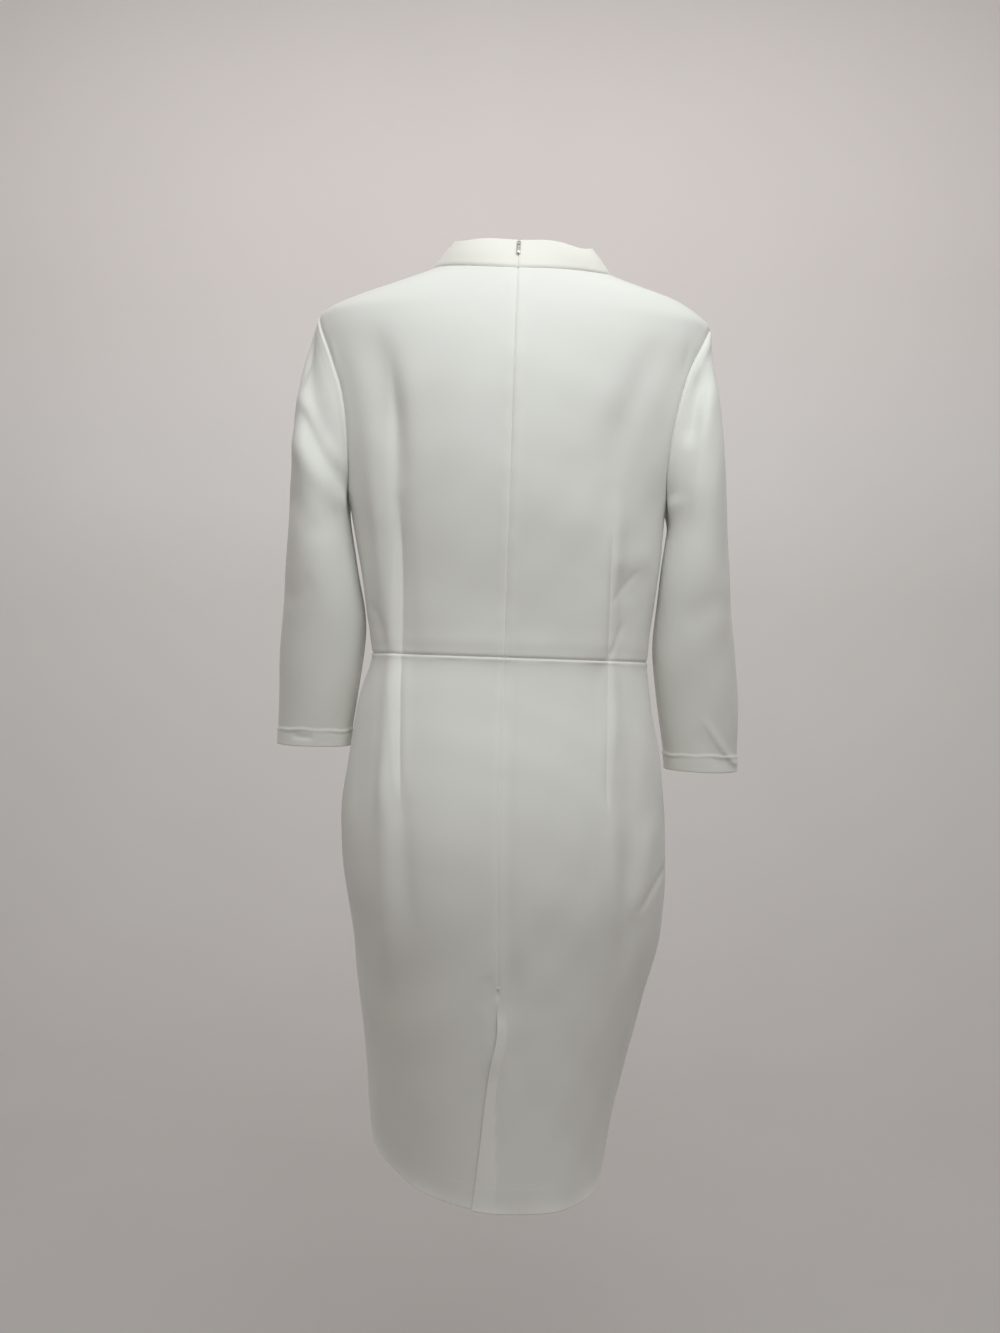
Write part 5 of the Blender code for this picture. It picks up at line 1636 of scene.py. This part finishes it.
def casting(size, squareness, taper=0.0):
    """A rounded box of a size: a sphere's sines and cosines to a power below 1 make it square.
    With a taper it is narrower at its lower end."""

    def power(value):
        return np.sign(value) * np.abs(value) ** squareness

    v = np.linspace(-np.pi / 2, np.pi / 2, CASTING_STEPS + 1)[1:-1, None]
    u = np.linspace(-np.pi, np.pi, 2 * CASTING_STEPS, endpoint=False)[None, :]
    x, y = power(np.cos(v)) * power(np.cos(u)), power(np.cos(v)) * power(np.sin(u))
    z = power(np.sin(v)) + 0 * u
    x = x * (1 - taper * (1 - z) / 2)
    points = np.stack([x, y, z], axis=-1).reshape(-1, 3) * np.array(size) / 2
    return facing_out(points, tube_faces(np.arange(len(points)).reshape(v.size, u.size)))


def bent_wire(corners, radius, across):
    """A wire through corners in a plane at right angles to across. To bend it softly, each
    stretch gives way to its points at a quarter and at three quarters, a few times over."""
    line = np.array(corners, dtype=float)
    for _ in range(WIRE_ROUNDS):
        near, far = line[:-1] * 0.75 + line[1:] * 0.25, line[:-1] * 0.25 + line[1:] * 0.75
        line = np.concatenate([line[:1], np.stack([near, far], axis=1).reshape(-1, 3), line[-1:]])
    keep = np.concatenate([[True], np.linalg.norm(np.diff(line, axis=0), axis=-1) > 1e-6])
    return facing_out(*tube_round(line[keep], WIRE_SIDES, radius, np.array(across)))


def joined(parts):
    """Several closed forms, each with its place, as one list of points and one of faces."""
    points, faces, count = [], [], 0
    for (form, form_faces), place in parts:
        points.append(form + np.array(place, dtype=float))
        faces += [[corner + count for corner in face] for face in form_faces]
        count += len(form)
    return np.concatenate(points), faces


def at_slider(points):
    """Points across, out and up from the slider's place, brought to the dress in metres."""
    spot, directions = slider_frame()
    return (spot + points @ directions) * MM


def make_slider():
    """The slider: a tapered plate with a rib, and a wire bridge over it for the tab's bar."""
    plate_out = SEAM_GAP + SLIDER_SIZE[1] / 2
    high = SLIDER_SIZE[1] / 2 + 2 * PULL_PLAY + 2 * PULL_BAR_RADIUS + BRIDGE_RADIUS
    half = BRIDGE_SPAN / 2
    arch = [(0, plate_out + high * out, -half * up) for out, up in BRIDGE_SHAPE]
    arch += [(x, y, -z) for x, y, z in arch[::-1]]
    rib_out = plate_out + SLIDER_SIZE[1] / 2 - RIB_SUNK
    parts = [
        (casting(SLIDER_SIZE, SQUARENESS["plate"], SLIDER_TAPER), (0, plate_out, 0)),
        (casting(RIB_SIZE, SQUARENESS["rib"]), (0, rib_out, 0)),
        (bent_wire(arch, BRIDGE_RADIUS, (1.0, 0.0, 0.0)), (0, 0, 0)),
    ]
    points, faces = joined(parts)
    return add_mesh("slider", at_slider(points), faces)


def make_pull():
    """The tab: a wire eye that hangs on the bridge, a tongue and a raised drop on it."""
    bar_out = SEAM_GAP + SLIDER_SIZE[1] + PULL_PLAY + PULL_BAR_RADIUS
    rail, low = PULL_EYE_WIDTH / 2, -PULL_EYE_LENGTH
    eye = [(0, 0, 0), (rail, 0, 0), (rail, 0, low / 2), (rail * 0.9, 0, low - PULL_EYE_FOOT)]
    eye = [(-x, y, z) for x, y, z in eye[::-1]][:-1] + eye
    length = PULL_LENGTH - PULL_EYE_LENGTH
    middle = -(PULL_LENGTH + PULL_EYE_LENGTH) / 2
    tongue_size = (PULL_WIDTH, PULL_THICKNESS, length)
    drop_size = (PULL_WIDTH * DROP["width"], PULL_THICKNESS + DROP["proud"], length * DROP["length"])
    parts = [
        (bent_wire(eye, PULL_BAR_RADIUS, (0.0, 1.0, 0.0)), (0, bar_out, 0)),
        (casting(tongue_size, SQUARENESS["tongue"], PULL_TAPER), (0, bar_out, middle)),
        (casting(drop_size, SQUARENESS["drop"]), (0, bar_out, middle - length * DROP["lower"])),
    ]
    points, faces = joined(parts)
    return add_mesh("pull_tab", at_slider(points), faces)


slider, pull_tab = make_slider(), make_pull()
print("slider:", len(slider.data.polygons), "faces, tab:", len(pull_tab.data.polygons), "faces")

# %% [markdown]
# A bar of thread holds the top of the vent, where the pull on the seam ends. It is a few
# stitches side by side across the seam, each a short arch.

# %% Thread tack
TACK = {"stitches": 5, "half_length": 1.5, "pitch": 0.42, "thread": 0.22, "above": 9.0}
TACK_ARCH = {"height": 0.6, "sunk": 0.5, "steps": 9, "sides": 8}


def make_tack():
    """The tack: a few arches side by side. Each goes across by the cosine of its turn and
    stands out by the sine, from a little inside the cloth."""
    z = np.array(VENT_TOP_Z + TACK["above"])
    deg = body_size("seam", z)
    point, normal = body(deg, z), body_normal(deg, z)
    across = unit(np.cross(normal, np.array([0.0, 0.0, 1.0])))
    turn = np.linspace(0.0, np.pi, TACK_ARCH["steps"])[:, None]
    out = TACK_ARCH["height"] * np.sin(turn) - TACK_ARCH["sunk"]
    line = point - across * TACK["half_length"] * np.cos(turn) + normal * out
    arch = facing_out(*tube_round(line, TACK_ARCH["sides"], TACK["thread"]))
    heights = (np.arange(TACK["stitches"]) - (TACK["stitches"] - 1) / 2) * TACK["pitch"]
    points, faces = joined([(arch, (0.0, 0.0, height)) for height in heights])
    return add_mesh("vent_tack", lean(points) * MM, faces)


tack = make_tack()
print("tack:", len(tack.data.polygons), "faces")

# %% [markdown]
# ## Materials
#
# Shader maths reads best as plain expressions, so a small class wraps a socket and turns
# + - * / into Math nodes. Any other node is made by one method. The patterns follow the cloth
# through its UV map, which is in metres.

# %% Shader tools
class Value:
    """A socket that takes part in sums: each operator adds a Math node."""

    def __init__(self, finish, socket):
        self.finish, self.socket = finish, socket

    def math(self, operation, *others):
        """A Math node of this operation on the socket and others, as a new value."""
        values = dict(enumerate([self, *others]))
        node = self.finish.node("Math", {"operation": operation}, values)
        return Value(self.finish, node.outputs[0])

    def __add__(self, other):
        return self.math("ADD", other)

    def __sub__(self, other):
        return self.math("SUBTRACT", other)

    def __mul__(self, other):
        return self.math("MULTIPLY", other)

    def __rsub__(self, other):
        return (self * -1.0) + other

    __radd__ = __add__
    __rmul__ = __mul__


class Finish:
    """A material with a Principled shader, and the means to add nodes to it."""

    def __init__(self, name, colour, roughness, metallic=0.0):
        self.material = bpy.data.materials.new(name)
        self.material.use_nodes = True
        self.tree = self.material.node_tree
        self.shader = self.tree.nodes["Principled BSDF"]
        self.look(Base_Color=(*colour, 1.0), Roughness=roughness, Metallic=metallic)
        self.material.diffuse_color = (*colour, 1.0)

    def look(self, **inputs):
        """Gives the shader's sockets, by name with _ for a space, their values or links."""
        self.set(self.shader, {name.replace("_", " "): v for name, v in inputs.items()})

    def set(self, node, inputs):
        """Gives the node's sockets, by name or number, their values or links."""
        for key, given in inputs.items():
            given = given.socket if isinstance(given, Value) else given
            if isinstance(given, bpy.types.NodeSocket):
                self.tree.links.new(given, node.inputs[key])
            else:
                node.inputs[key].default_value = given

    def node(self, kind, settings, inputs):
        """A new node of a kind, with its settings first and then its sockets."""
        node = self.tree.nodes.new("ShaderNode" + kind)
        for key, given in settings.items():
            setattr(node, key, given)
        self.set(node, inputs)
        return node

    def place(self):
        """The place on the object, in metres."""
        return self.node("TexCoord", {}, {}).outputs["Object"]

    def on_cloth(self):
        """The place on the flat cloth, from its UV map, in metres."""
        return self.node("UVMap", {"uv_map": "cloth"}, {}).outputs["UV"]

    def noise(self, vector, scale, detail=2.0, roughness=0.5):
        """Noise from 0 to 1 at a scale in cells per metre."""
        inputs = {"Vector": vector, "Scale": scale, "Detail": detail, "Roughness": roughness}
        return Value(self, self.node("TexNoise", {}, inputs).outputs["Fac"])

    def ramp(self, value, low, high):
        """0 where the value is at low and 1 where it is at high, straight between."""
        inputs = {"Value": value, "From Min": low, "From Max": high}
        return Value(self, self.node("MapRange", {}, inputs).outputs["Result"])

    def blend(self, factor, one, two):
        """A colour between two, each given as three numbers or a socket, by a factor."""
        one, two = ((*c, 1.0) if isinstance(c, tuple) else c for c in (one, two))
        inputs = {0: factor, 6: one, 7: two}
        return self.node("Mix", {"data_type": "RGBA"}, inputs).outputs[2]

    def bump(self, height, distance, strength):
        """The normal of the surface with a height in metres times a distance on it."""
        inputs = {"Height": height, "Distance": distance, "Strength": strength}
        return self.node("Bump", {}, inputs).outputs["Normal"]


print("values can be added, subtracted and multiplied")

# %% [markdown]
# The crepe's colours are close together: two ivories that differ by a few hundredths, mixed by
# a broad noise. Real off-white polyester keeps a soft, nearly matt face with a little sheen at
# grazing angles, which is one constant on the shader.

# %% Cloth finishes
IVORY, IVORY_SHADE = (0.80, 0.80, 0.768), (0.78, 0.776, 0.74)
# the lighter ivory below is doubled cloth, and it also paints highlights on the skirt's lit edges
DOUBLED_AND_HIGHLIT_IVORY = (0.865, 0.86, 0.82)
CREPE_GRAIN = 1350.0  # pebbles a metre
CREPE_DEPTH = 0.00009  # metres
GRAIN_STRENGTH = 0.8
FIBRES_PER_PEBBLE = 2.3
BROAD_SCALE, PATCH_SCALE = 9.0, 34.0  # cells a metre
CREPE_SHEEN = {"Sheen_Weight": 0.3, "Sheen_Roughness": 0.5, "Specular_IOR_Level": 0.3}


def crepe(name, light, shade, doubled):
    """Double-knit crepe between two close colours, mixed by two noises and the grain, and a lighter
    one where the cloth lies double, which also paints highlights on the skirt's hem rim, vent strip
    and waist lip. The grain, also the bump, is the distance to the middle of a pebble with some fibres
    on it."""
    finish = Finish(name, light, 0.82)
    layers_and_highlights = finish.node("Attribute", {"attribute_name": "layers_and_highlights"}, {}).outputs["Fac"]
    place, on_cloth = finish.place(), finish.on_cloth()
    pebbles = finish.node("TexVoronoi", {}, {"Vector": on_cloth, "Scale": CREPE_GRAIN})
    pebbles = Value(finish, pebbles.outputs["Distance"])
    fibres = finish.noise(on_cloth, CREPE_GRAIN * FIBRES_PER_PEBBLE, 3.0, 0.6)
    broad = finish.noise(place, BROAD_SCALE, 3.0, 0.55)
    patches = finish.noise(place, PATCH_SCALE)
    grain = pebbles * 0.6 + fibres * 0.4
    tone = (broad * 1.3 - 0.25) * 0.6 + patches * 0.25 + grain * 0.15
    single = finish.blend(tone, light, shade)
    # lighter where the cloth is doubled, and painted lighter as a highlight on the skirt's hem rim,
    # vent strip and waist lip
    finish.look(Base_Color=finish.blend(layers_and_highlights, single, doubled))
    finish.look(Roughness=0.78 + grain * 0.08 + broad * 0.06)
    finish.look(Normal=finish.bump(grain, CREPE_DEPTH, GRAIN_STRENGTH))
    finish.look(**CREPE_SHEEN)
    return finish.material


CREPE = crepe("crepe", IVORY, IVORY_SHADE, DOUBLED_AND_HIGHLIT_IVORY)
print("the single cloth:", CREPE.name)

# %% [markdown]
# The collar is of the same crepe over a stiffener that shows through, so it is a little
# warmer and brighter than the single cloth.

# %% Collar crepe
COLLAR_IVORY, COLLAR_SHADE = (0.84, 0.825, 0.775), (0.815, 0.797, 0.742)
COLLAR_CREPE = crepe("collar_crepe", COLLAR_IVORY, COLLAR_SHADE, COLLAR_IVORY)
print("the stiffened cloth:", COLLAR_CREPE.name)

# %% [markdown]
# The tape is a fine twill, whose slanting ribs are one wave texture. Slider and tab are
# nickel-plated zinc with a satin grain, worn darker where fingers hold them. The coil and
# the tack are thread, round and slightly shiny.

# %% Tape, coil and metal
TAPE_LIGHT, TAPE_SHADE, TAPE_MIDDLE = (0.82, 0.80, 0.755), (0.74, 0.72, 0.67), (0.80, 0.78, 0.73)
RIB_SCALE, RIB_SLANT, RIB_DEPTH = 260.0, 0.8, 0.00015
NICKEL, NICKEL_WORN = (0.66, 0.65, 0.63), (0.42, 0.40, 0.38)
WEAR_SCALE, SATIN_SCALE, SATIN_DEPTH = 420.0, 5200.0, 0.00003
THREAD_IVORY, TWIST_SCALE, TWIST_DEPTH = (0.84, 0.83, 0.79), 3500.0, 0.00008


def woven_tape():
    """A fine twill: diagonal ribs across the tape, as a bump and a slight tone."""
    finish = Finish("tape_weave", TAPE_MIDDLE, 0.7)
    turn = {"Vector": finish.on_cloth(), "Rotation": (0.0, 0.0, RIB_SLANT), "Scale": (1.0, 1.0, 1.0)}
    turned_place = finish.node("Mapping", {}, turn).outputs["Vector"]
    ribs = {"Vector": turned_place, "Scale": RIB_SCALE, "Distortion": 0.6}
    ribs = Value(finish, finish.node("TexWave", {}, ribs).outputs["Fac"])
    finish.look(Base_Color=finish.blend(ribs * 0.6, TAPE_LIGHT, TAPE_SHADE))
    finish.look(Normal=finish.bump(ribs, RIB_DEPTH, 0.7))
    return finish.material


def nickel():
    """Plated metal with a satin grain, duller and darker in patches where hands wear it."""
    finish = Finish("nickel_plate", NICKEL, 0.34, metallic=1.0)
    place = finish.place()
    patches = finish.ramp(finish.noise(place, WEAR_SCALE, 4.0, 0.6), 0.5, 0.7)
    grain = finish.noise(place, SATIN_SCALE)
    finish.look(Base_Color=finish.blend(patches, NICKEL, NICKEL_WORN))
    finish.look(Roughness=0.3 + patches * 0.18 + grain * 0.08)
    finish.look(Normal=finish.bump(grain, SATIN_DEPTH, 0.5))
    return finish.material


def thread():
    """Twisted polyester thread: a fine noise on each stitch, as a bump and in its gloss."""
    finish = Finish("thread", THREAD_IVORY, 0.6)
    twist = finish.noise(finish.place(), TWIST_SCALE)
    finish.look(Roughness=0.5 + twist * 0.2)
    finish.look(Normal=finish.bump(twist, TWIST_DEPTH, 0.8))
    return finish.material


TAPE_WEAVE, NICKEL_PLATE, THREAD = woven_tape(), nickel(), thread()
print("materials:", [material.name for material in bpy.data.materials])

# %% [markdown]
# ## The floor, the backdrop and the light
#
# A studio sweep is a floor that curves up into a wall far behind. A soft light, the key,
# hangs above and behind the back of the dress, and a smaller one nearer the neck, so that
# the yoke is brightest and the cloth darkens towards the hem. A third washes the wall. The
# surroundings fill in the rest with an even, slightly warm light.

# %% Stage
FLOOR_Z, WALL_Y, SWEEP_RADIUS, SWEEP_HALF_WIDTH = -1.42, -2.6, 1.2, 6.0
FLOOR_END_Y, WALL_TOP_Z = 5.0, 3.5
SWEEP_TURNS, SWEEP_COLUMNS = 40, 25
# the wall's colour over the dress, a painted light level with it, and a painted shade towards the
# floor
PAINT_HIGH, PAINTED_LIGHT_LEVEL, PAINTED_SHADE_LOW = (0.615, 0.592, 0.572), (0.668, 0.663, 0.641), (0.47, 0.452, 0.437)
HIGH_TO_PAINTED_LIGHT, PAINTED_LIGHT_TO_SHADE = (0.75, 0.1), (-0.2, -1.5)  # heights in metres


def sweep():
    """A profile carried across: a flat floor, a quarter circle, and a wall."""
    turn = np.linspace(0.0, np.pi / 2, SWEEP_TURNS)
    curve_y = WALL_Y + SWEEP_RADIUS - SWEEP_RADIUS * np.sin(turn)
    curve_z = FLOOR_Z + SWEEP_RADIUS - SWEEP_RADIUS * np.cos(turn)
    y = np.concatenate([[FLOOR_END_Y], curve_y, [WALL_Y]])
    z = np.concatenate([[FLOOR_Z], curve_z, [WALL_TOP_Z]])
    across = np.linspace(-SWEEP_HALF_WIDTH, SWEEP_HALF_WIDTH, SWEEP_COLUMNS)[:, None]
    points = np.stack(np.broadcast_arrays(across, y, z), axis=-1)
    numbers = np.arange(points[..., 0].size).reshape(points.shape[:2])
    mesh = bpy.data.meshes.new("sweep")
    mesh.from_pydata(points.reshape(-1, 3).tolist(), [], quads(numbers.T).tolist())
    mesh.shade_smooth()
    return put_in_scene("sweep", mesh)


def wall_paint_with_painted_light():
    """Matt paint with painted light and shade: a little lighter level with the dress than over it, as
    painted light, and darker down to the floor, as painted shade, with faint speckles."""
    finish = Finish("wall_paint_with_painted_light", (0.60, 0.58, 0.56), 0.9)
    place = finish.place()
    height = finish.node("SeparateXYZ", {}, {"Vector": place}).outputs["Z"]
    speckle = finish.noise(place, 3.0, 4.0)
    # painted shade: darker down towards the floor, with faint speckles mixed in
    tone = finish.ramp(height, *PAINTED_LIGHT_TO_SHADE) * 0.85 + speckle * 0.15
    # painted light: lighter level with the dress than over it
    paint = finish.blend(finish.ramp(height, *HIGH_TO_PAINTED_LIGHT), PAINT_HIGH, PAINTED_LIGHT_LEVEL)
    finish.look(Base_Color=finish.blend(tone, paint, PAINTED_SHADE_LOW))
    return finish.material


backdrop = sweep()
backdrop.data.materials.append(wall_paint_with_painted_light())
print("sweep:", len(backdrop.data.polygons), "faces")

# %% [markdown]
# Three rectangles of light, each with a place, a point that it is aimed at, a size in metres,
# a power in watts and a colour, and the even light of the surroundings.

# %% Lights
LIGHTS = (
    ("key", (-0.18, 1.05, 0.74), (0.0, 0.05, -0.10), (0.8, 0.5), 4.6, (0.942, 1.0, 1.0)),
    ("neck", (-0.10, 0.62, 0.46), (0.0, 0.06, -0.05), (0.6, 0.3), 3.3, (0.94, 1.0, 1.0)),
    ("wash", (0.0, -0.9, 1.45), (0.0, -2.6, -0.3), (3.8, 0.6), 40.0, (1.0, 0.966, 0.99)),
)
SURROUNDINGS, SURROUNDINGS_STRENGTH = (0.99, 0.945, 0.91, 1.0), 0.40


def area_light(name, place, target, size, power, colour):
    """A rectangle of light. It is tilted by the slope of the way to its target, and turned
    by the way's direction seen from above."""
    light = put_in_scene(name, bpy.data.lights.new(name, "AREA"))
    light.data.shape, light.data.size, light.data.size_y = "RECTANGLE", *size
    light.data.energy, light.data.color = power, colour
    way = np.array(target) - np.array(place)
    light.location = place
    yaw = np.arctan2(way[0], -way[1])
    pitch = np.arctan2(np.hypot(way[0], way[1]), -way[2])
    light.rotation_euler = (pitch, 0.0, yaw + np.pi)


for row in LIGHTS:
    area_light(*row)

world = bpy.data.worlds.new("world")
bpy.context.scene.world = world
world.use_nodes = True
background = world.node_tree.nodes["Background"]
background.inputs["Color"].default_value = SURROUNDINGS
background.inputs["Strength"].default_value = SURROUNDINGS_STRENGTH
bpy.context.scene.view_settings.view_transform = "Standard"
print("stage and lights are up")

# %% [markdown]
# ## Riding on the dress
#
# Each piece rides on the dress's body, stands for its own solid and gets its finish.

# %% Ride and replace
FINISHES = {"collar": COLLAR_CREPE, "zip_tape": TAPE_WEAVE}
for node, piece in cloth_pieces.items():
    piece.data.materials.append(FINISHES.get(node, CREPE))
    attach(piece, "dress")
    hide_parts(node)

coil.data.materials.append(THREAD)
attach(coil, "dress")
tack.data.materials.append(THREAD)
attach(tack, "dress")
slider.data.materials.append(NICKEL_PLATE)
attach(slider, "dress")
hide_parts("zip_slider")
pull_tab.data.materials.append(NICKEL_PLATE)
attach(pull_tab, "zip_pull")
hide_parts("zip_pull")
